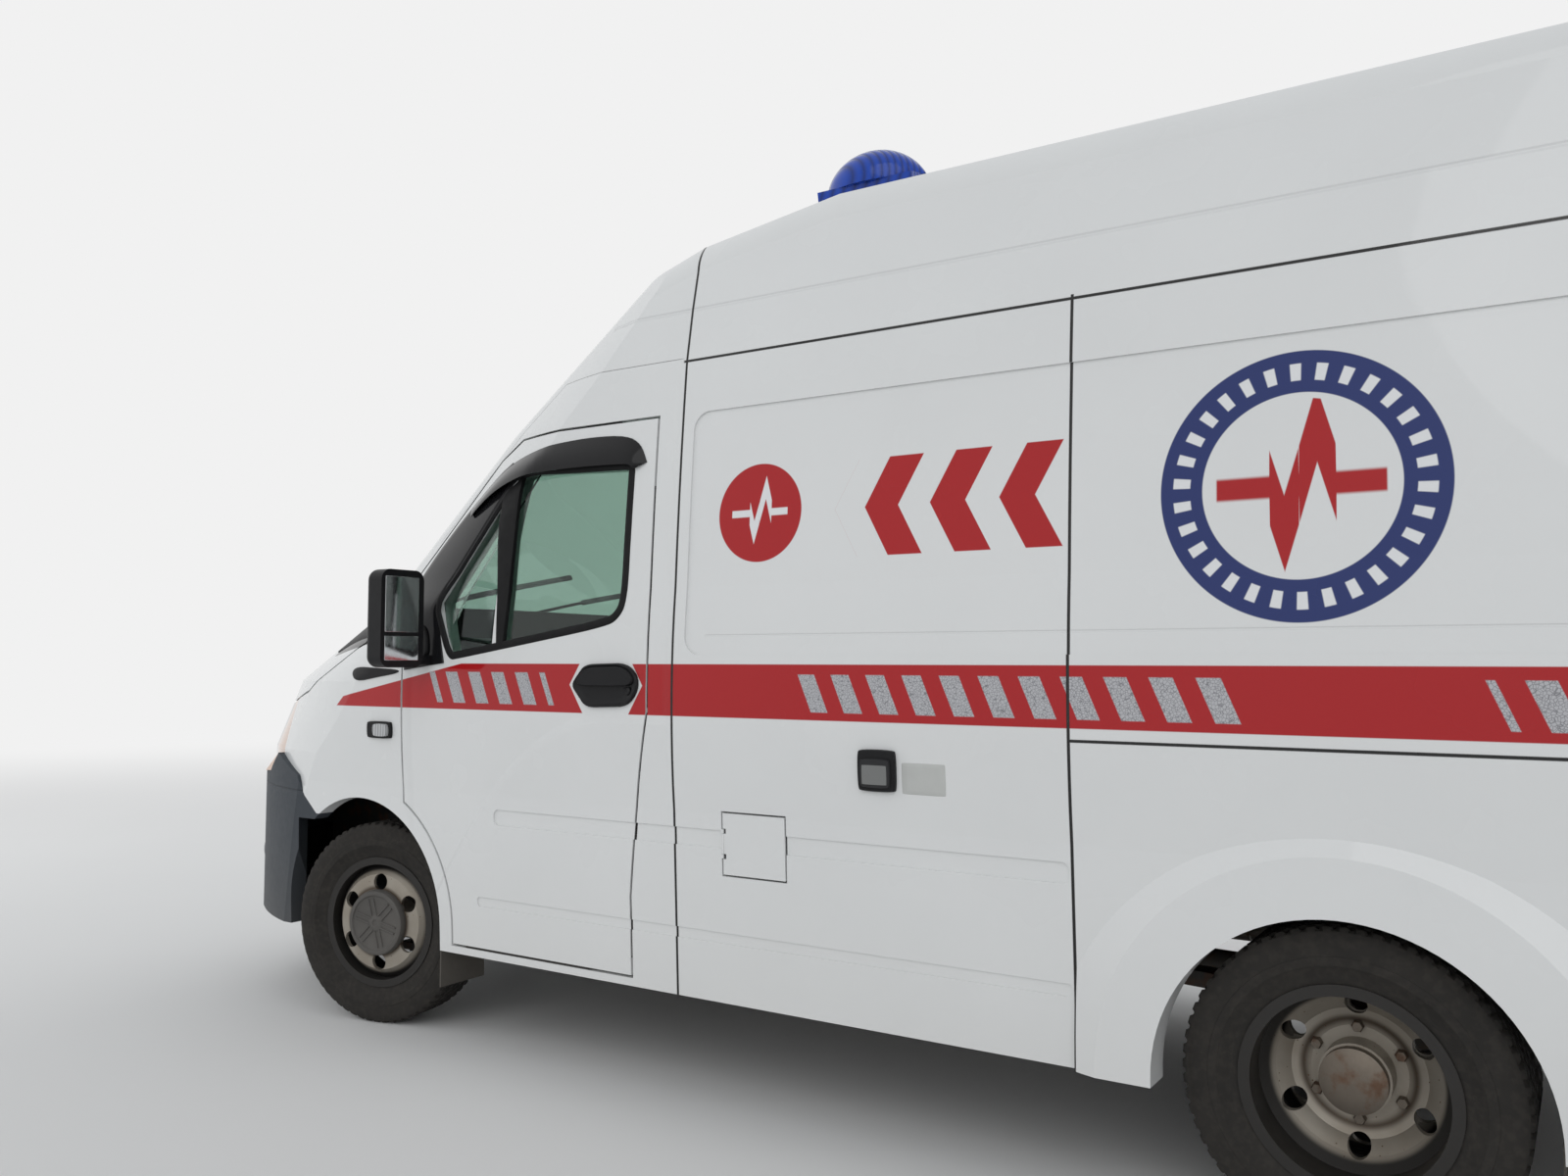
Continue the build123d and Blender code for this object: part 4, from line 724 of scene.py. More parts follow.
def bumper_finish(settings):
    """Grained dark plastic with a crease round it, the air intake and the recesses round the fog lamps near
    black with painted shade, and the field behind the number plate; at the rear, red reflectors and a ribbed
    step."""
    s = Shade("bumper_plastic", roughness=0.62, Specular_IOR_Level=0.3)
    wide = s.math("ABSOLUTE", s.y)
    ahead = s.step(s.x, 2.20)
    pale = tuple(c * 1.5 for c in settings.bumper)
    tone = s.mix(s.math("MULTIPLY", s.noise(6.0, 5.0), 0.5), settings.bumper, pale)
    tone = s.mix(s.dust(0.80, 0.30), tone, (0.24, 0.22, 0.19))
    intake = s.both(ahead, s.below(wide, 0.575), s.band(s.z, 0.408, 0.562))
    away = s.length(s.math("SUBTRACT", wide, FOG_LAMP[0]), s.math("SUBTRACT", s.z, FOG_LAMP[1]))
    recess = s.both(ahead, s.below(away, 0.080))
    # Painted shade: the intake's opening behind the slats and the recesses round the fog lamps are painted
    # near black
    tone = s.mix(s.either(intake, recess), tone, (0.007, 0.007, 0.008))
    edge = s.both(ahead, s.below(wide, PLATE_HALF + PLATE_RIM),
                  s.band(s.z, PLATE_LOW - PLATE_RIM, PLATE_TOP + PLATE_RIM))
    field = s.both(ahead, s.below(wide, PLATE_HALF), s.band(s.z, PLATE_LOW, PLATE_TOP))
    tone = s.mix(edge, tone, (0.010, 0.010, 0.011))
    tone = s.mix(field, tone, settings.plate)
    behind = s.below(s.x, -2.795)
    reflector = s.both(behind, s.band(wide, 0.730, 0.850), s.band(s.z, 0.478, 0.512))
    ribs = s.band(s.math("FRACT", s.math("DIVIDE", s.z, 0.024)), 0.0, 0.5, 0.1)
    tread = s.both(behind, ribs, s.step(s.z, 0.56), s.below(wide, 0.55))
    s.colour(s.mix(reflector, tone, (0.42, 0.012, 0.010)))
    crease = s.band(s.z, 0.772, 0.782, 0.003)
    height = s.math("MULTIPLY_ADD", crease, -0.004, s.math("MULTIPLY", s.cells(500.0), 0.00010))
    height = s.math("MULTIPLY_ADD", s.either(intake, recess), -0.006, height)
    height = s.math("MULTIPLY_ADD", tread, -0.0015, height)
    s.rough(s.scaled(s.noise(40.0, 3.0), 0.52, 0.70))
    s.bump(height)
    return s.material


def weave(name, colour, thread):
    """Woven cloth: crossed ribs from two sine waves, with painted highlights on the crowns, and a soft sheen.
    """
    s = Shade(name, roughness=0.9, Sheen_Weight=0.4, Sheen_Roughness=0.5)
    warp = s.math("SINE", s.math("MULTIPLY", s.math("ADD", s.x, s.z), thread))
    weft = s.math("SINE", s.math("MULTIPLY", s.y, thread))
    cloth = s.math("MULTIPLY_ADD", s.math("MULTIPLY", warp, weft), 0.5, 0.5)
    mottled = s.mix(s.noise(12.0, 4.0), colour, tuple(c * 1.7 + 0.01 for c in colour))
    # Painted highlight: the weave's crowns are painted paler than its hollows
    s.colour(s.mix(s.math("MULTIPLY", cloth, 0.5), mottled, tuple(c * 2.2 + 0.02 for c in colour)))
    s.bump(s.math("MULTIPLY", cloth, 0.0005))
    return s.material


def flat_tone(name, colour, roughness=0.6):
    """A plain stuck-on label or number plate: print-free, its face lightly soiled."""
    s = Shade(name, roughness=roughness)
    s.colour(s.mix(s.scaled(s.noise(30.0, 6.0), 0.0, 0.35), colour, tuple(c * 0.72 for c in colour)))
    s.bump(s.math("MULTIPLY", s.noise(300.0, 3.0), 0.00008))
    return s.material


# Settings

class LiverySettings(bpy.types.PropertyGroup):
    white: bpy.props.FloatVectorProperty(name="White", description="Colour of the body panels",
                                         subtype="COLOR", size=3, default=(0.80, 0.81, 0.805),
                                         min=0.0, max=1.0)
    red: bpy.props.FloatVectorProperty(name="Red", description="Colour of the side band and badges",
                                       subtype="COLOR", size=3, default=(0.43, 0.006, 0.010),
                                       min=0.0, max=1.0)
    navy: bpy.props.FloatVectorProperty(name="Navy", description="Colour of the large badge's ring",
                                        subtype="COLOR", size=3, default=(0.014, 0.030, 0.150),
                                        min=0.0, max=1.0)
    band_bottom: bpy.props.FloatProperty(name="Band bottom",
                                         description="Height of the side band's lower edge",
                                         default=1.091, unit="LENGTH")
    band_top: bpy.props.FloatProperty(name="Band top", description="Height of the side band's upper edge",
                                      default=1.239, unit="LENGTH")
    bar_pitch: bpy.props.FloatProperty(name="Bar pitch",
                                       description="Distance from one slanted bar to the next",
                                       default=0.105, unit="LENGTH")
    ring_outer: bpy.props.FloatProperty(name="Ring outer radius", description="Outside of the large badge",
                                        default=0.298, unit="LENGTH")
    ring_inner: bpy.props.FloatProperty(name="Ring inner radius",
                                        description="Inside of the large badge's ring",
                                        default=0.205, unit="LENGTH")


class WheelSettings(bpy.types.PropertyGroup):
    rubber: bpy.props.FloatVectorProperty(name="Rubber", description="Colour of clean tyre rubber",
                                          subtype="COLOR", size=3, default=(0.018, 0.017, 0.016),
                                          min=0.0, max=1.0)
    steel: bpy.props.FloatVectorProperty(name="Wheel paint", description="Colour of the wheel discs",
                                         subtype="COLOR", size=3, default=(0.44, 0.41, 0.36),
                                         min=0.0, max=1.0)
    groove_depth: bpy.props.FloatProperty(name="Groove depth", description="Depth of the tread's grooves",
                                          default=0.0075, unit="LENGTH")
    blocks: bpy.props.IntProperty(name="Tread blocks", description="Blocks round each row of the tread",
                                  default=64)
    wheel_nuts: bpy.props.IntProperty(name="Wheel nuts", description="Nuts round each hub", default=6)


class TrimSettings(bpy.types.PropertyGroup):
    rubber_half: bpy.props.FloatProperty(name="Window rubber half width",
                                         description="Half the width of the rubber round each window",
                                         default=0.013, unit="LENGTH")
    rubber_height: bpy.props.FloatProperty(name="Window rubber height",
                                           description="How far the rubber stands out",
                                           default=0.005, unit="LENGTH")
    plastic: bpy.props.FloatVectorProperty(name="Black plastic",
                                           description="Colour of handles and mirrors",
                                           subtype="COLOR", size=3, default=(0.008, 0.008, 0.009),
                                           min=0.0, max=1.0)
    bumper: bpy.props.FloatVectorProperty(name="Bumper",
                                          description="Colour of the bumpers' dark plastic",
                                          subtype="COLOR", size=3, default=(0.042, 0.049, 0.058),
                                          min=0.0, max=1.0)
    plate: bpy.props.FloatVectorProperty(name="Number plate",
                                         description="Colour of the blank number plates",
                                         subtype="COLOR", size=3, default=(0.66, 0.67, 0.67),
                                         min=0.0, max=1.0)


class StageSettings(bpy.types.PropertyGroup):
    floor: bpy.props.FloatVectorProperty(name="Floor", description="Colour of the studio floor",
                                         subtype="COLOR", size=3, default=(0.78, 0.78, 0.77),
                                         min=0.0, max=1.0)
    key: bpy.props.FloatProperty(name="Daylight",
                                 description="Strength of the soft light from above the left side",
                                 default=0.62)
    fill: bpy.props.FloatProperty(name="Fill lights",
                                  description="Power of the large soft lamps round the van",
                                  default=95.0, unit="POWER")
    sky: bpy.props.FloatProperty(name="Surround", description="Strength of the even light from all round",
                                 default=0.58)
    backdrop: bpy.props.FloatProperty(name="Backdrop", description="Brightness of the background",
                                      default=0.88)


MATERIALS = {}


class AMBULANCE_OT_finishes(bpy.types.Operator):
    """Makes every finish and puts it on the frame's own pieces."""
    bl_idname = "ambulance.finishes"
    bl_label = "Finishes"

    def execute(self, context):
        scene = context.scene
        made = {
            "paint": paint(scene.ambulance_livery),
            "black": moulded("black_plastic", tuple(scene.ambulance_trim.plastic), roughness=0.42, dirt=0.12),
            "gloss": moulded("gloss_black", tuple(scene.ambulance_trim.plastic), grain=300.0, depth=0.000004,
                             roughness=0.12, dirt=0.0),
            "rubber": moulded("seal_rubber", (0.006, 0.006, 0.0065), grain=400.0, roughness=0.62, dirt=0.2),
            "bumper": bumper_finish(scene.ambulance_trim),
            "cap": moulded("hub_cap_plastic", (0.040, 0.041, 0.043), grain=300.0, depth=0.00006,
                           roughness=0.6, dirt=0.5, top=1.0, fade=0.01),
            "grille": moulded("grille_plastic", (0.020, 0.021, 0.023), roughness=0.45, dirt=0.3, top=1.2),
            "lining": moulded("cab_lining", (0.026, 0.027, 0.030), grain=350.0, depth=0.00008, roughness=0.66,
                              dirt=0.0),
            "steering": moulded("steering_plastic", (0.022, 0.022, 0.023), grain=300.0, roughness=0.5,
                                dirt=0.0),
            "tank": moulded("tank_plastic", (0.018, 0.018, 0.018), grain=120.0, roughness=0.6, dirt=0.6),
            "window": glass("window_glass", (0.47, 0.62, 0.55)),
            "frosted": glass("frosted_glass", (0.80, 0.84, 0.84), 0.1, film=True),
            "head": head_lens(),
            "tail": tail_lens(),
            "beacon": lens("beacon_lens", (0.003, 0.058, 0.44), 55.0),
            "repeater": lens("repeater_lens", (0.55, 0.56, 0.57), 160.0),
            "chassis": metal("chassis_steel", (0.045, 0.043, 0.041), 0.55, rust=0.45, metallic=0.2, dirt=0.6),
            "engine": metal("engine_casting", (0.16, 0.16, 0.16), 0.6, rust=0.35, metallic=0.5),
            "exhaust": metal("exhaust_steel", (0.30, 0.27, 0.24), 0.42, rust=0.65, metallic=0.8),
            "wheel": wheel_paint(scene.ambulance_wheels),
            "tyre": tyre_rubber(scene.ambulance_wheels),
            "nut": metal("nut_steel", (0.20, 0.17, 0.14), 0.5, rust=0.6, dirt=0.3),
            "flap": moulded("flap_rubber", (0.020, 0.020, 0.020), grain=80.0, depth=0.0002,
                            roughness=0.8, dirt=0.5),
            "cloth": weave("seat_cloth", (0.030, 0.036, 0.055), 2400.0),
            "mirror": metal("mirror_glass", (0.80, 0.82, 0.84), 0.09, metallic=1.0, dirt=0.0),
            "label": flat_tone("pale_label", (0.56, 0.57, 0.55)),
            "tag": flat_tone("grey_label", (0.20, 0.205, 0.20)),
            "number": flat_tone("blank_plate", tuple(scene.ambulance_trim.plate), 0.4),
            "chrome": metal("bright_steel", (0.60, 0.60, 0.61), 0.16, metallic=1.0, dirt=0.2),
        }
        MATERIALS.update(made)
        by_slot = {
            "body_paint": "paint", "window_glass": "window", "headlamp_lens": "head",
            "tail_lamp_lens": "tail", "beacon_lens": "beacon", "grille_plastic": "grille",
            "bumper_plastic": "bumper", "mirror_plastic": "black", "chassis_steel": "chassis",
            "cab_lining": "lining", "steering_plastic": "steering", "seat_fabric": "cloth",
            "engine_metal": "engine", "exhaust_steel": "exhaust", "tank_plastic": "tank",
            "wheel_steel": "wheel", "tyre_rubber": "tyre", "flap_rubber": "flap",
        }
        for row in frame["record"]["subparts"]:
            node = frame["nodes"][row["node"]]
            node.data.materials.clear()
            node.data.materials.append(made[by_slot[row["material_slot"]]])
        for name in ("rear_glass_left", "rear_glass_right"):
            frame["nodes"][name].data.materials.clear()
            frame["nodes"][name].data.materials.append(made["frosted"])
        return {"FINISHED"}


def wheel_places():
    """Rows of (name, centre, outward axis, body, node) for each tyre, the front ones steered at rest."""
    turn = math.radians(REST_STEER)
    reach = FRONT_WHEEL_Y - KINGPIN_Y
    rows = []
    for side, word in SIDES:
        axis = np.array([-math.sin(turn), math.cos(turn), 0.0]) * side
        centre = np.array([FRONT_AXLE_X, side * KINGPIN_Y, AXLE_Z]) + reach * axis
        rows.append(("tyre_front_" + word, [centre], axis, "wheel_front_" + word, "front"))
        rows_y = (REAR_OUTER_Y, REAR_OUTER_Y - TWIN_SPACING)
        twins = [np.array([REAR_AXLE_X, side * y, AXLE_Z]) for y in rows_y]
        rows.append(("tyres_rear_" + word, twins, np.array([0.0, side, 0.0]), "wheels_rear_" + word, "rear"))
    return rows


def tyre_points(centre, axis, settings):
    """A tyre's skin: the moulded outline in (radius, offset) is spun about the axle; on the tread the radius
    drops by the groove depth in four lines round it and in slanted cuts across the shoulder rows."""
    wall = [(BEAD_RADIUS + 0.004, RIM_HALF - 0.008), (0.218, RIM_HALF - 0.006), (0.228, 0.0735),
            (0.236, 0.0790), (0.240, 0.0800), (0.242, 0.0815), (0.262, 0.0895), (0.264, 0.0915),
            (0.282, 0.0921), (0.284, 0.0905), (0.300, 0.0895), (0.312, 0.0875), (0.318, 0.0868),
            (0.322, 0.0855), (0.328, 0.0835), (0.334, 0.0805), (0.3385, 0.0765)]
    tread = np.array([0.0725, 0.0610, 0.0500, 0.0475, 0.0405, 0.0380, 0.0270, 0.0170, 0.0145, 0.0075, 0.0050])
    half = wall + [(TYRE_RADIUS, w) for w in tread]
    outline = np.array(half + [(r, -w) for r, w in half[::-1]])
    steps = settings.blocks * STEPS_PER_BLOCK
    points = turned(outline, (0.0, 0.0, 0.0), axis, steps)
    step = np.arange(steps)[:, None]
    width = outline[None, :, 1]
    on_tread = outline[None, :, 0] > TYRE_RADIUS - 0.004
    grooves = np.zeros((1, len(outline)), bool)
    for place in (0.0440, 0.0110):
        grooves |= np.abs(np.abs(width) - place) < 0.0040
    cut = np.floor(step + np.abs(width) * 60.0) % STEPS_PER_BLOCK < 1.5
    cut = cut & (np.abs(width) > 0.0455) & on_tread
    middle_cut = np.floor(step + STEPS_PER_BLOCK / 2 + width * 90.0) % STEPS_PER_BLOCK < 1.2
    middle_cut = middle_cut & (np.abs(width) < 0.040) & on_tread
    drop = np.where(on_tread & grooves, settings.groove_depth, 0.0)
    drop = np.maximum(drop, np.where(cut, settings.groove_depth * 0.8, 0.0))
    drop = np.maximum(drop, np.where(middle_cut, settings.groove_depth * 0.45, 0.0))
    out = points - axis * (points @ axis)[..., None]
    out /= np.linalg.norm(out, axis=-1, keepdims=True)
    return np.array(centre) + points - out * drop[..., None]


class AMBULANCE_OT_tyres(bpy.types.Operator):
    """Tyres with a grooved, blocked tread and moulded rings on their walls."""
    bl_idname = "ambulance.tyres"
    bl_label = "Tyres"

    def execute(self, context):
        settings = context.scene.ambulance_wheels
        for name, centres, axis, body, _ in wheel_places():
            patches = [patch(tyre_points(c, axis, settings), close_u=True, close_v=True) for c in centres]
            piece(name + "_tread", patches, MATERIALS["tyre"], body, 32.0, replaces=(name,))
        return {"FINISHED"}


def nut(centre, axis, radius, length):
    """A six-sided nut: a six-point ring carried along the axis, drawn in at its outer end."""
    rows = [(radius, 0.0), (radius, length * 0.7), (radius * 0.8, length), (0.0004, length)]
    return patch(turned(rows, centre, axis, 6), close_u=True)


def spoke(axis, angle):
    """The unit vector across a wheel's axis at an angle from level: cosine across plus sine upwards."""
    return np.cross(axis, [0.0, 0.0, 1.0]) * math.cos(angle) + np.array([0.0, 0.0, 1.0]) * math.sin(angle)


class AMBULANCE_OT_wheel_trim(bpy.types.Operator):
    """Nuts and hub flanges on the rear wheels, ribbed hub caps on the front ones."""
    bl_idname = "ambulance.wheel_trim"
    bl_label = "Wheel trim"

    def execute(self, context):
        settings = context.scene.ambulance_wheels
        for name, centres, axis, body, kind in wheel_places():
            centre = centres[0]
            hand = name.split("_")[-1]
            if kind == "front":
                rows = [(0.110, 0.064), (0.112, 0.074), (0.1115, 0.088), (0.108, 0.0955), (0.100, 0.0985),
                        (0.095, 0.0985), (0.091, 0.0930), (0.086, 0.0915), (0.030, 0.0915), (0.024, 0.0950),
                        (0.012, 0.0960), (0.009, 0.0930), (0.0003, 0.0928)]
                cap = [patch(turned(rows, centre, axis, 64), close_u=True)]
                for k in range(6):
                    way = spoke(axis, (k + 0.25) * math.pi / 3)
                    for shift in (-0.010, 0.010):
                        foot = centre + np.cross(axis, way) * shift + axis * 0.0915
                        line = np.array([foot + way * r for r in (0.022, 0.050, 0.084)])
                        cap.append(sweep(line, axis, bead(0.0034, 0.0048), closed=False))
                piece("hub_cap_" + hand, cap, MATERIALS["cap"], body, 30.0)
            else:
                turns = (np.arange(settings.wheel_nuts) + 0.5) * 2 * math.pi / settings.wheel_nuts
                feet = [centre + spoke(axis, turn) * HUB_NUT_RING + axis * HUB_NUT_DEPTH for turn in turns]
                nuts = [nut(foot, axis, 0.0135, 0.020) for foot in feet]
                piece(f"wheel_rear_{hand}_nuts", nuts, MATERIALS["nut"], body, 30.0)
                rows = [(0.070, -0.032), (0.070, -0.006), (0.052, 0.000), (0.030, 0.004), (0.0003, 0.005)]
                hub = [patch(turned(rows, centre, axis, 48), close_u=True)]
                piece("hub_flange_rear_" + hand, hub, MATERIALS["nut"], body, 30.0)
        return {"FINISHED"}


# Black trim of the cab doors in side view (X, Z), from the mirror's foot up to the window's top
PILLAR_OUTER = [(1.522, 1.216), (1.540, 1.310), (1.578, 1.372), (1.606, 1.428), (1.590, 1.500),
                (1.498, 1.612), (1.361, 1.737), (1.197, 1.861), (1.119, 1.896)]
PILLAR_INNER = [(1.330, 1.240), (1.352, 1.330), (1.372, 1.385), (1.384, 1.420), (1.378, 1.446),
                (1.318, 1.524), (1.214, 1.653), (1.118, 1.774), (1.062, 1.842)]
# The bar between the door window's panes, and the seam round the door
BAR_FRONT = [(1.092, 1.290), (1.106, 1.540), (1.123, 1.784)]
BAR_REAR = [(1.062, 1.296), (1.045, 1.560), (1.027, 1.836)]
DOOR_SEAM = [(1.611, 1.529), (1.209, 1.916), (1.094, 1.972), (0.473, 1.972), (0.473, 1.100),
             (0.511, 0.880), (0.550, 0.560), (0.550, 0.327), (1.250, 0.327)]


def window_outline():
    """The whole side window's outline in (X, Z), its corners eased."""
    corners = [(0.566, 1.790), (0.565, 1.833), (0.612, 1.836), (0.800, 1.842), (1.019, 1.852),
               (1.078, 1.830), (1.120, 1.780), (1.255, 1.613), (1.391, 1.442), (1.350, 1.355),
               (1.306, 1.262), (1.270, 1.266), (0.970, 1.311), (0.638, 1.361), (0.594, 1.384),
               (0.572, 1.428), (0.569, 1.620)]
    return smooth_loop(corners, 3)


class AMBULANCE_OT_window_rubbers(bpy.types.Operator):
    """Rubbers round the windows, the bar in each door window, the doors' seals and their pillar trim."""
    bl_idname = "ambulance.window_rubbers"
    bl_label = "Window rubbers"

    def execute(self, context):
        trim = context.scene.ambulance_trim
        rib = bead(trim.rubber_half, trim.rubber_height)
        for side, word in SIDES:
            loop = on_side(window_outline(), side, -0.001)
            body = "door_" + word
            edges = [smooth_loop(edge, 2, False) for edge in (BAR_FRONT, BAR_REAR)]
            bar = strip(*edges, side, 0.004, 0.012)
            rubber = sweep(loop, (0.0, side, 0.0), rib)
            piece("window_rubber_" + word, [rubber, bar], MATERIALS["rubber"], body)
            edges = [smooth_loop(edge, 2, False) for edge in (PILLAR_OUTER, PILLAR_INNER)]
            cover = strip(*edges, side, 0.005)
            piece("pillar_trim_" + word, [cover], MATERIALS["gloss"], body)
            seam = on_side(smooth_loop(DOOR_SEAM, 1, False), side, -0.004)
            seal = sweep(seam, (0.0, side, 0.0), bead(0.0032, 0.0005, 0.009, 5), closed=False)
            piece("door_seal_" + word, [seal], MATERIALS["rubber"], "body")
            rear = smooth_loop([(0.150, 1.420), (0.435, 1.420), (0.720, 1.420), (0.720, 1.745),
                                (0.720, 2.070), (0.435, 2.070), (0.150, 2.070), (0.150, 1.745)], 3)
            path = np.stack([np.full(len(rear), REAR_WALL_X + 0.001), rear[:, 0] * side, rear[:, 1]], -1)
            piece("rear_window_rubber_" + word, [sweep(path, (-1.0, 0.0, 0.0), bead(0.016, 0.007))],
                  MATERIALS["rubber"], "rear_door_" + word)
        edge = smooth_loop([(-0.800, 1.442), (-0.400, 1.450), (0.0, 1.455), (0.400, 1.450), (0.800, 1.442),
                            (0.762, 1.760), (0.725, 2.080), (0.360, 2.098), (0.0, 2.103), (-0.360, 2.098),
                            (-0.725, 2.080), (-0.762, 1.760)], 2)
        x = front_x(edge[:, 0], edge[:, 1], (SCREEN, BROW))
        lean = math.radians(SCREEN[2])
        path = np.stack([x - 0.002, edge[:, 0], edge[:, 1]], -1)
        way = (math.sin(lean), 0.0, math.cos(lean))
        piece("windscreen_rubber", [sweep(path, way, bead(0.017, 0.006))], MATERIALS["rubber"], "body")
        return {"FINISHED"}


# Rain deflectors in side view (X, Z), front end first
DEFLECTOR_TOP = [(1.330, 1.758), (1.262, 1.812), (1.197, 1.858), (1.119, 1.894), (0.995, 1.919),
                 (0.863, 1.931), (0.725, 1.936), (0.592, 1.927), (0.536, 1.896), (0.509, 1.838)]
DEFLECTOR_LOW = [(1.296, 1.728), (1.216, 1.774), (1.146, 1.802), (1.068, 1.822), (0.980, 1.836),
                 (0.860, 1.840), (0.725, 1.840), (0.600, 1.836), (0.560, 1.834), (0.552, 1.820)]


class AMBULANCE_OT_door_trim(bpy.types.Operator):
    """Handles, rain deflectors, mirror feet and mirror glass on the cab doors, the wings' trim, and the
    side door's handle."""
    bl_idname = "ambulance.door_trim"
    bl_label = "Door trim"

    def execute(self, context):
        for side, word in SIDES:
            body = "door_" + word
            place = on_skin(side)
            cup = smooth_loop([(0.762, 1.175), (0.736, 1.207), (0.708, 1.238), (0.630, 1.240),
                               (0.551, 1.242), (0.505, 1.208), (0.502, 1.161), (0.542, 1.114),
                               (0.622, 1.111), (0.702, 1.108), (0.732, 1.142)], 2)
            grip = smooth_loop([(0.748, 1.176), (0.703, 1.229), (0.630, 1.231), (0.556, 1.233),
                                (0.515, 1.204), (0.515, 1.176), (0.590, 1.174), (0.665, 1.174)], 2)
            rows = [(0.012, -0.004), (0.012, 0.006), (0.009, 0.008), (0.006, 0.0065), (0.0003, 0.0065)]
            lock_place = on_side([(0.540, 1.160)], side, 0.004)[0]
            lock_ring = patch(turned(rows, lock_place, (0.0, side, 0.0), 24), close_u=True)
            handle = [plate(cup, place, 0.014, CUPPED), plate(grip, place, 0.022), lock_ring]
            piece("door_handle_" + word, handle, MATERIALS["black"], body)
            top = smooth_loop(DEFLECTOR_TOP, 2, closed=False)
            low = smooth_loop(DEFLECTOR_LOW, 2, closed=False)
            share = np.linspace(0.0, 1.0, 8)[:, None, None]
            flat = top[None] * (1 - share) + low[None] * share
            along = np.sin(np.linspace(0.12, math.pi - 0.12, len(top)))[None] ** 0.5
            bow = 0.030 * np.sin(share[..., 0] * math.pi / 2) * along
            outer = on_side(flat, side, 0.002)
            outer[..., 1] += side * bow
            inner = outer.copy()
            inner[..., 1] -= side * 0.004
            shell = np.concatenate([outer, inner[::-1]], 0)
            ends = [patch(np.stack([outer[:, end], inner[:, end]])) for end in (0, -1)]
            piece("rain_deflector_" + word, [patch(shell, close_u=True), *ends], MATERIALS["gloss"], body)
            foot = smooth_loop([(1.400, 1.246), (1.508, 1.234), (1.520, 1.290), (1.535, 1.340),
                                (1.500, 1.372), (1.430, 1.372), (1.404, 1.330)], 2)
            piece("mirror_foot_" + word, [plate(foot, place, 0.018)], MATERIALS["black"], body)
            wedge = smooth_loop([(1.550, 1.218), (1.660, 1.223), (1.785, 1.228), (1.812, 1.207),
                                 (1.770, 1.174), (1.660, 1.191), (1.550, 1.206)], 2)
            piece("wing_trim_" + word, [plate(wedge, place, 0.007)], MATERIALS["black"], "body")
            low_corner, high_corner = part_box("mirror_" + word)
            y0, y1 = sorted((side * 1.105, side * 1.240))
            x0, x1 = low_corner.x - 0.0005, low_corner.x + 0.004
            split = low_corner.z + 0.105
            panes = [round_box((x0, y0, split + 0.008), (x1, y1, high_corner.z - 0.022), 0.002),
                     round_box((x0, y0, low_corner.z + 0.022), (x1, y1, split - 0.004), 0.002)]
            piece("mirror_glass_" + word, panes, MATERIALS["mirror"], body)
        grip = smooth_loop([(0.190, 1.150), (0.200, 1.205), (0.290, 1.215), (0.330, 1.180),
                            (0.320, 1.135), (0.240, 1.120)], 3)
        piece("side_door_handle", [plate(grip, on_skin(-1), 0.020)], MATERIALS["black"], "body")
        return {"FINISHED"}


def side_box(x0, x1, z0, z1, out, side, corner=0.008):
    """A small plate on the side skin: an outline with eased corners, set out from the body's half-width."""
    r = corner
    corners = [(x0 + r, z0), (x1 - r, z0), (x1, z0 + r), (x1, z1 - r), (x1 - r, z1), (x0 + r, z1),
               (x0, z1 - r), (x0, z0 + r)]
    return plate(smooth_loop(corners, 2), on_skin(side), out + 0.003)


class AMBULANCE_OT_side_fittings(bpy.types.Operator):
    """Side repeaters, and the power inlet with its labels."""
    bl_idname = "ambulance.side_fittings"
    bl_label = "Side fittings"

    def execute(self, context):
        for side, word in SIDES:
            piece("repeater_base_" + word, [side_box(1.578, 1.702, 0.984, 1.042, 0.010, side)],
                  MATERIALS["black"], "body")
            piece("repeater_lens_" + word, [side_box(1.588, 1.660, 0.991, 1.035, 0.020, side)],
                  MATERIALS["repeater"], "body")
        piece("power_inlet", [side_box(-0.342, -0.233, 0.914, 1.022, 0.014, 1)], MATERIALS["black"], "body")
        piece("power_inlet_lid", [side_box(-0.332, -0.243, 0.924, 1.000, 0.021, 1)], MATERIALS["grille"],
              "body")
        piece("inlet_lid_label", [side_box(-0.325, -0.250, 0.932, 0.984, 0.0222, 1, 0.002)], MATERIALS["tag"],
              "body")
        piece("inlet_label", [side_box(-0.479, -0.356, 0.912, 0.992, 0.0012, 1, 0.003)], MATERIALS["label"],
              "body")
        return {"FINISHED"}


# Caps over the bonnet's hinge corners as (X, |Y|, Z) of the ends of two lines, front end first
CAP_INNER = ((2.076, 0.864, 1.287), (1.800, 0.864, 1.436))
CAP_OUTER = ((2.076, 0.876, 1.278), (1.800, 0.960, 1.330))
CAP_WAY = (0.35, 0.67, 0.65)
# Wipers as (name, (Y, Z) of the pivot, (Y, Z) of the arm's end)
WIPERS = (("left", (0.560, 1.440), (0.050, 1.560)), ("right", (-0.140, 1.445), (-0.640, 1.570)))


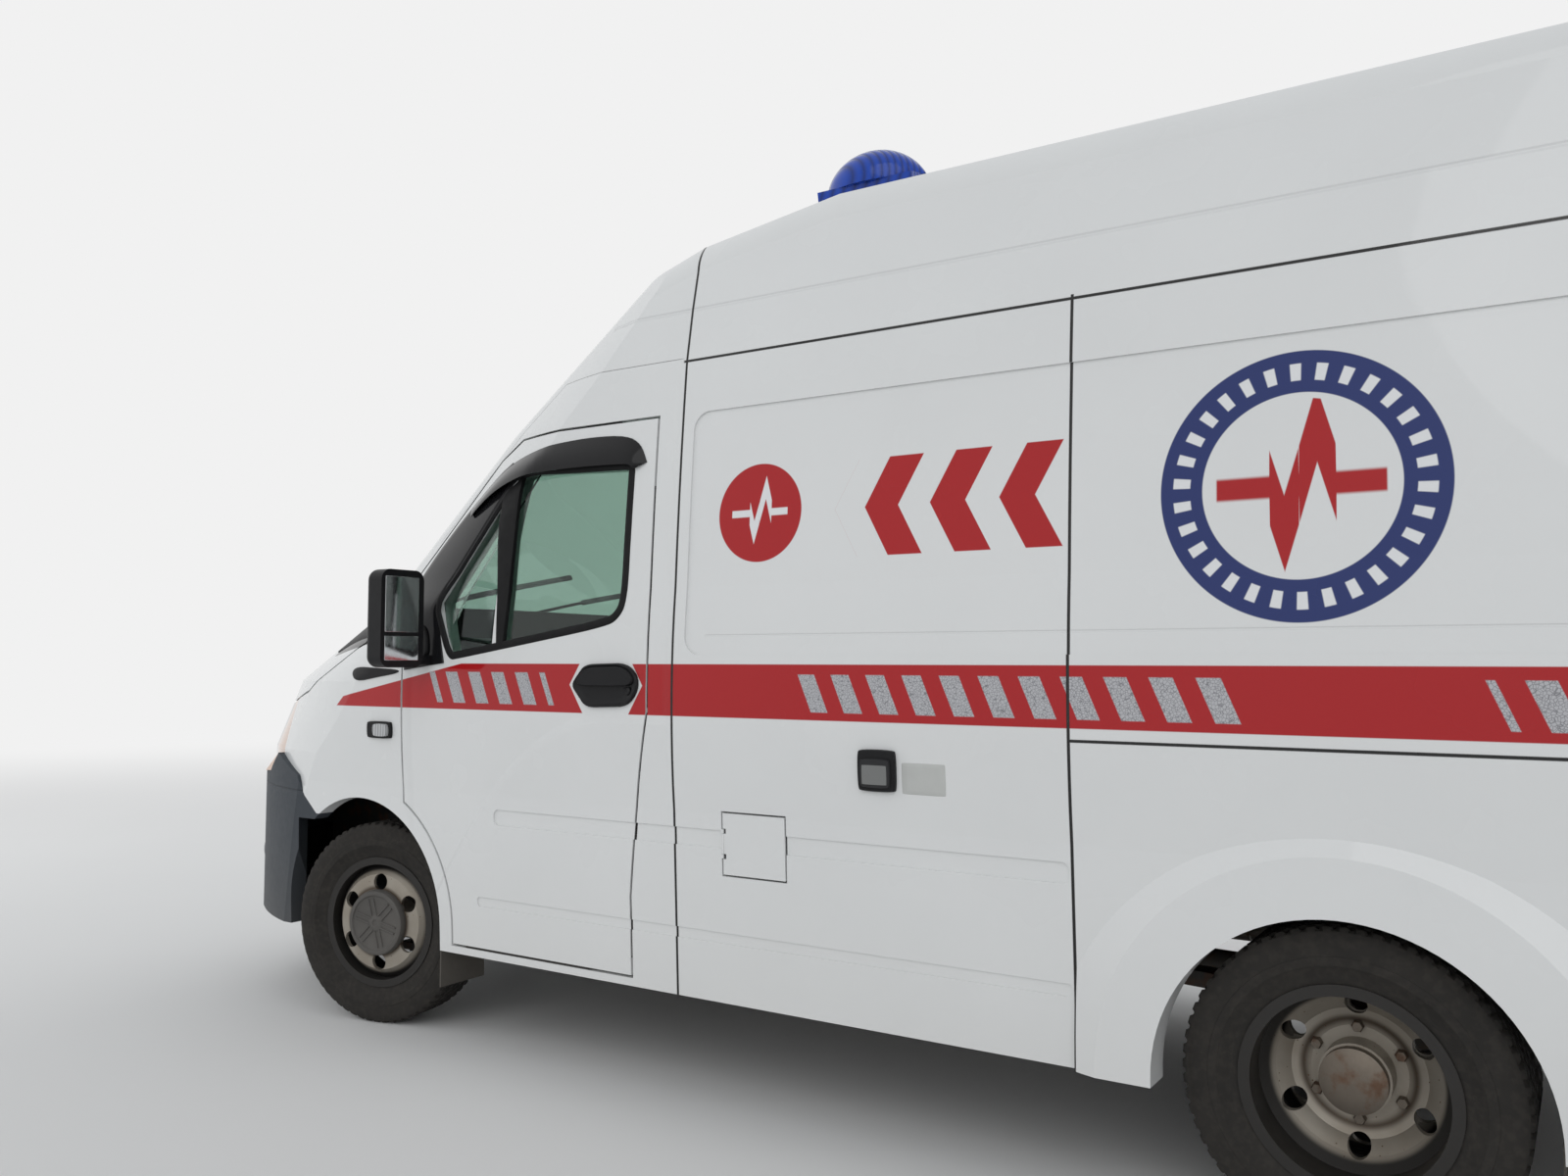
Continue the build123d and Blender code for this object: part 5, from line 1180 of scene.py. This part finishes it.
def corner_cap(side):
    """A cap over one hinge corner of the bonnet: across it the points go evenly from the inner line to the
    outer one, and its face also rises by a crown of s (1 - s) that grows towards the rear."""
    along = np.linspace(0.0, 1.0, 25)[:, None, None]
    inner = np.array(CAP_INNER[0]) * (1 - along) + np.array(CAP_INNER[1]) * along
    outer = np.array(CAP_OUTER[0]) * (1 - along) + np.array(CAP_OUTER[1]) * along
    rows = np.array([(0.0, -0.006), (0.0, 0.001), (0.05, 0.003), (0.15, 0.004), (0.3, 0.004),
                     (0.5, 0.004), (0.7, 0.004), (0.85, 0.004), (0.95, 0.003), (1.0, 0.001),
                     (1.0, -0.006), (0.5, -0.006)])
    share, height = rows[None, :, 0:1], rows[None, :, 1:2]
    crown = np.where(height > 0, 0.040 * share * (1 - share) * along, 0.0)
    points = inner * (1 - share) + outer * share + (height + crown) * np.array(CAP_WAY)
    return patch(points * np.array([1.0, side, 1.0]), close_v=True, caps=True)


class AMBULANCE_OT_nose(bpy.types.Operator):
    """Grille bars, intake slats, the front plate, fog lamps, the bonnet's corner caps and the wipers."""
    bl_idname = "ambulance.nose"
    bl_label = "Nose"

    def execute(self, context):
        y = np.linspace(-0.470, 0.470, 41)
        bars = []
        for z in (0.935, 0.975, 1.015, 1.055):
            x = front_x(y, np.full_like(y, z), NOSE) - 0.004
            path = np.stack([x, y, np.full_like(y, z)], -1)
            bars.append(sweep(path, (1.0, 0.0, 0.25), bead(0.009, 0.012, 0.012), closed=False))
        piece("grille_bars", bars, MATERIALS["chrome"], "body")
        y = np.linspace(-0.560, 0.560, 57)
        foremost = BUMPER[0][0] - 0.0003
        slats = []
        for z in (0.432, 0.467, 0.502, 0.537):
            x = np.minimum(front_x(y, np.full_like(y, z), BUMPER) + 0.007, foremost) - 0.007
            path = np.stack([x, y, np.full_like(y, z)], -1)
            slats.append(sweep(path, (1.0, 0.0, 0.0), bead(0.009, 0.007, 0.012), closed=False))
        piece("intake_slats", slats, MATERIALS["grille"], "body")
        half = PLATE_HALF + PLATE_RIM
        end = float(front_x(half, 0.650, BUMPER)) - 0.004
        holder = round_box((end, -half, PLATE_LOW - PLATE_RIM),
                           (foremost - 0.0012, half, PLATE_TOP + PLATE_RIM), 0.003)
        piece("front_plate_holder", [holder], MATERIALS["black"], "body")
        number = round_box((end, -PLATE_HALF, PLATE_LOW), (foremost, PLATE_HALF, PLATE_TOP), 0.001)
        piece("front_plate", [number], MATERIALS["number"], "body")
        for side, word in SIDES:
            x = float(front_x(0.720, 0.500, BUMPER))
            rows = [(0.062, -0.020), (0.062, 0.002), (0.055, 0.007), (0.030, 0.010), (0.0003, 0.011)]
            middle = (x - 0.008, side * FOG_LAMP[0], FOG_LAMP[1])
            lamp = patch(turned(rows, middle, (0.95, side * 0.30, 0.0), 40), close_u=True)
            piece("fog_lamp_" + word, [lamp], MATERIALS["repeater"], "body")
            piece("bonnet_corner_" + word, [corner_cap(side)], MATERIALS["black"], "bonnet")
        lean = math.radians(SCREEN[2])
        way = np.array([math.sin(lean), 0.0, math.cos(lean)])
        for word, (y0, z0), (y1, z1) in WIPERS:
            share = np.linspace(0.0, 1.0, 20)
            ys, zs = y0 + (y1 - y0) * share, z0 + (z1 - z0) * share
            x = front_x(ys, zs, (SCREEN, BROW))
            path = np.stack([x, ys, zs], -1) + way * 0.018
            arm = sweep(path[:14], way, oval(0.008, 0.006), closed=False)
            blade_y = np.linspace(y1 + 0.30, y1 - 0.22, 24)
            blade_z = np.linspace(z1 - 0.066, z1 + 0.045, 24)
            blade_x = front_x(blade_y, blade_z, (SCREEN, BROW))
            blade_path = np.stack([blade_x, blade_y, blade_z], -1) + way * 0.009
            blade = sweep(blade_path, way, bead(0.006, 0.014, 0.010), closed=False)
            link_path = np.stack([path[13], (path[13] + blade_path[12]) / 2, blade_path[12]])
            link = sweep(link_path, way, oval(0.006, 0.006), closed=False)
            piece("wiper_" + word, [arm, blade, link], MATERIALS["black"], "body")
        return {"FINISHED"}


class AMBULANCE_OT_rear_fittings(bpy.types.Operator):
    """The rear door's handle, blank number plate and high brake lamp."""
    bl_idname = "ambulance.rear_fittings"
    bl_label = "Rear fittings"

    def execute(self, context):
        back = REAR_WALL_X
        handle = [round_box((back - 0.022, -0.150, 1.155), (back + 0.002, -0.030, 1.225), 0.009),
                  round_box((back - 0.040, -0.140, 1.178), (back - 0.020, -0.050, 1.202), 0.007)]
        piece("rear_handle", handle, MATERIALS["black"], "rear_door_right")
        piece("rear_plate", [round_box((back - 0.007, 0.170, 0.830), (back + 0.002, 0.690, 0.942), 0.003)],
              MATERIALS["number"], "rear_door_left")
        piece("plate_lamp", [round_box((back - 0.030, 0.330, 0.950), (back + 0.002, 0.530, 0.980), 0.008)],
              MATERIALS["black"], "rear_door_left")
        brake_lamp = round_box((back - 0.014, -0.160, 2.455), (back + 0.004, 0.160, 2.490), 0.006)
        piece("high_brake_lamp", [brake_lamp], MATERIALS["tail"], "body")
        return {"FINISHED"}


def cushion(low, high, radius, crown, lean=0.0, seams=()):
    """A crowned cushion: a rounded box whose faces swell by crown times the cosines across them, with narrow
    channels pressed in along its seams, and sheared back by lean for each metre of height."""
    points, faces = round_box(low, high, radius, 72, 36)
    half = (np.array(high) - np.array(low)) / 2
    middle = (np.array(high) + np.array(low)) / 2
    share = (points - middle) / half
    swell = np.cos(share * math.pi / 2 * 0.98)
    reach = np.abs(share)
    lift = np.stack([swell[:, 1] * swell[:, 2] * reach[:, 0], swell[:, 0] * swell[:, 2] * reach[:, 1] * 0.4,
                     swell[:, 0] * swell[:, 1] * reach[:, 2]], -1)
    points = points + np.sign(share) * crown * lift
    for place in seams:
        dip = np.exp(-((points[:, 1] - middle[1] - place) / 0.009) ** 2)
        points = points - (points - middle) * (dip * 0.10)[:, None] * np.array([1.0, 0.0, 1.0])
    points[:, 0] -= lean * (points[:, 2] - low[2])
    return points, faces


class AMBULANCE_OT_seats(bpy.types.Operator):
    """Two cab seats: crowned cushions, backs and headrests on moulded bases."""
    bl_idname = "ambulance.seats"
    bl_label = "Seats"

    def execute(self, context):
        bases = []
        for y, word in ((0.430, "left"), (-0.430, "right")):
            form = cushion((0.578, y - 0.220, 0.800), (0.995, y + 0.220, 0.905), 0.045, 0.014, 0.0,
                           (-0.145, 0.145))
            seat = piece("seat_cushion_" + word, [form], MATERIALS["cloth"], "body", 60.0,
                         replaces=("seats",))
            form = cushion((0.590, y - 0.208, 0.900), (0.676, y + 0.208, 1.462), 0.036, 0.010, 0.150,
                           (-0.140, 0.140))
            back = piece("seat_back_" + word, [form], MATERIALS["cloth"], "body", 60.0)
            form = cushion((0.520, y - 0.122, 1.505), (0.578, y + 0.122, 1.668), 0.026, 0.008, 0.05)
            head = piece("headrest_" + word, [form], MATERIALS["cloth"], "body", 60.0)
            bases.append(round_box((0.605, y - 0.176, 0.541), (0.975, y + 0.176, 0.800), 0.022))
            for shift in (-0.05, 0.05):
                rod = np.array([[0.552, y + shift, 1.40], [0.549, y + shift, 1.47], [0.547, y + shift, 1.53]])
                bases.append(sweep(rod, (1.0, 0.0, 0.0), oval(0.006, 0.006), closed=False))
        piece("seat_bases", bases, MATERIALS["lining"], "body")
        return {"FINISHED"}


def backdrop(tree, strength, share=None):
    """Rays from the camera, and those that mirror or pass through a surface, see one pale tone in place
    of the tree's last shader; share limits it to a part of the surface."""
    nodes, links = tree.nodes, tree.links

    def joined(operation, a, b):
        node = nodes.new("ShaderNodeMath")
        node.operation = operation
        links.new(a, node.inputs[0])
        links.new(b, node.inputs[1])
        return node.outputs[0]

    sent = nodes.new("ShaderNodeLightPath").outputs
    part = joined("MAXIMUM", sent["Is Camera Ray"], sent["Is Glossy Ray"])
    part = joined("MAXIMUM", part, sent["Is Transmission Ray"])
    if share is not None:
        part = joined("MULTIPLY", part, share)
    last = next(node for node in nodes if node.type in ("OUTPUT_WORLD", "OUTPUT_MATERIAL"))
    plain = nodes.new("ShaderNodeBackground" if last.type == "OUTPUT_WORLD" else "ShaderNodeEmission")
    plain.inputs["Color"].default_value = (1.0, 1.0, 1.0, 1.0)
    plain.inputs["Strength"].default_value = strength
    blend = nodes.new("ShaderNodeMixShader")
    links.new(part, blend.inputs["Fac"])
    links.new(last.inputs["Surface"].links[0].from_socket, blend.inputs[1])
    links.new(plain.outputs[0], blend.inputs[2])
    links.new(blend.outputs[0], last.inputs["Surface"])


class AMBULANCE_OT_stage(bpy.types.Operator):
    """Pale floor, soft lamps and the camera at the photograph's place."""
    bl_idname = "ambulance.stage"
    bl_label = "Stage"

    def execute(self, context):
        scene = context.scene
        settings = scene.ambulance_stage
        span = np.linspace(-40.0, 40.0, 9)
        grid = np.stack(np.meshgrid(span, span, [-0.0005], indexing="ij"), -1)[:, :, 0]
        points, faces = patch(grid)
        mesh = bpy.data.meshes.new("studio_floor")
        mesh.from_pydata(points.tolist(), [], [face[::-1] for face in faces])
        floor = bpy.data.objects.new("studio_floor", mesh)
        scene.collection.objects.link(floor)
        s = Shade("studio_floor", roughness=0.75)
        s.colour(s.mix(s.noise(0.7, 3.0), tuple(settings.floor), tuple(c * 0.97 for c in settings.floor)))
        backdrop(s.material.node_tree, settings.backdrop, s.step(s.length(s.x, s.y), 11.0, 7.0))
        mesh.materials.append(s.material)
        world = bpy.data.worlds.new("studio")
        scene.world = world
        world.use_nodes = True
        background = world.node_tree.nodes["Background"]
        background.inputs["Color"].default_value = (0.94, 0.965, 1.0, 1.0)
        background.inputs["Strength"].default_value = settings.sky
        backdrop(world.node_tree, settings.backdrop)
        sun = bpy.data.lights.new("daylight", "SUN")
        sun.energy = settings.key
        sun.angle = math.radians(50.0)
        shine = [("daylight", sun, (-3.5, 9.0, 6.5))]
        for name, place, share in SOFT_LAMPS:
            data = bpy.data.lights.new(name, "AREA")
            data.shape = "RECTANGLE"
            data.size, data.size_y = 6.4, 4.0
            data.energy = settings.fill * share
            shine.append((name, data, place))
        for name, data, place in shine:
            lamp = bpy.data.objects.new(name, data)
            lamp.location = place
            way = Vector(LAMP_TARGET) - Vector(place)
            lamp.rotation_euler = way.to_track_quat("-Z", "Y").to_euler()
            # Gloss paint would mirror the soft lamps as clipped streaks
            lamp.visible_glossy = data.type == "SUN"
            scene.collection.objects.link(lamp)
        level = math.cos(CAMERA_TILT)
        forward = Vector((math.sin(CAMERA_TURN) * level, -math.cos(CAMERA_TURN) * level,
                          math.sin(CAMERA_TILT)))
        right = forward.cross(Vector((0.0, 0.0, 1.0))).normalized()
        right = Matrix.Rotation(CAMERA_LEAN, 3, forward) @ right
        up = right.cross(forward)
        data = bpy.data.cameras.new("camera")
        data.sensor_width = SENSOR_WIDTH
        data.lens = FOCAL_PIXELS / PICTURE_PIXELS * SENSOR_WIDTH
        data.clip_end = 200.0
        camera = bpy.data.objects.new("camera", data)
        place = Matrix((right, up, -forward)).transposed().to_4x4()
        place.translation = Vector(CAMERA_PLACE)
        camera.matrix_world = place
        scene.collection.objects.link(camera)
        scene.camera = camera
        scene.view_settings.view_transform = "Standard"
        return {"FINISHED"}


class AMBULANCE_PT_panel(bpy.types.Panel):
    """Lists the ambulance's pieces."""
    bl_idname = "AMBULANCE_PT_panel"
    bl_label = "Ambulance"
    bl_space_type = "VIEW_3D"
    bl_region_type = "UI"
    bl_category = "Ambulance"

    def draw(self, context):
        for operator in OPERATORS:
            self.layout.operator(operator.bl_idname)


SETTINGS = (LiverySettings, WheelSettings, TrimSettings, StageSettings)
OPERATORS = (
    AMBULANCE_OT_finishes, AMBULANCE_OT_tyres, AMBULANCE_OT_wheel_trim, AMBULANCE_OT_window_rubbers,
    AMBULANCE_OT_door_trim, AMBULANCE_OT_side_fittings, AMBULANCE_OT_nose, AMBULANCE_OT_rear_fittings,
    AMBULANCE_OT_seats, AMBULANCE_OT_stage,
)


def register():
    for group in (*SETTINGS, *OPERATORS, AMBULANCE_PT_panel):
        bpy.utils.register_class(group)
    bpy.types.Scene.ambulance_livery = bpy.props.PointerProperty(type=LiverySettings)
    bpy.types.Scene.ambulance_wheels = bpy.props.PointerProperty(type=WheelSettings)
    bpy.types.Scene.ambulance_trim = bpy.props.PointerProperty(type=TrimSettings)
    bpy.types.Scene.ambulance_stage = bpy.props.PointerProperty(type=StageSettings)


def unregister():
    for name in ("ambulance_livery", "ambulance_wheels", "ambulance_trim", "ambulance_stage"):
        delattr(bpy.types.Scene, name)
    for group in reversed((*SETTINGS, *OPERATORS, AMBULANCE_PT_panel)):
        bpy.utils.unregister_class(group)


def main():
    register()
    for operator in OPERATORS:
        family, action = operator.bl_idname.split(".")
        getattr(getattr(bpy.ops, family), action)()


if __name__ == "__main__":
    main()
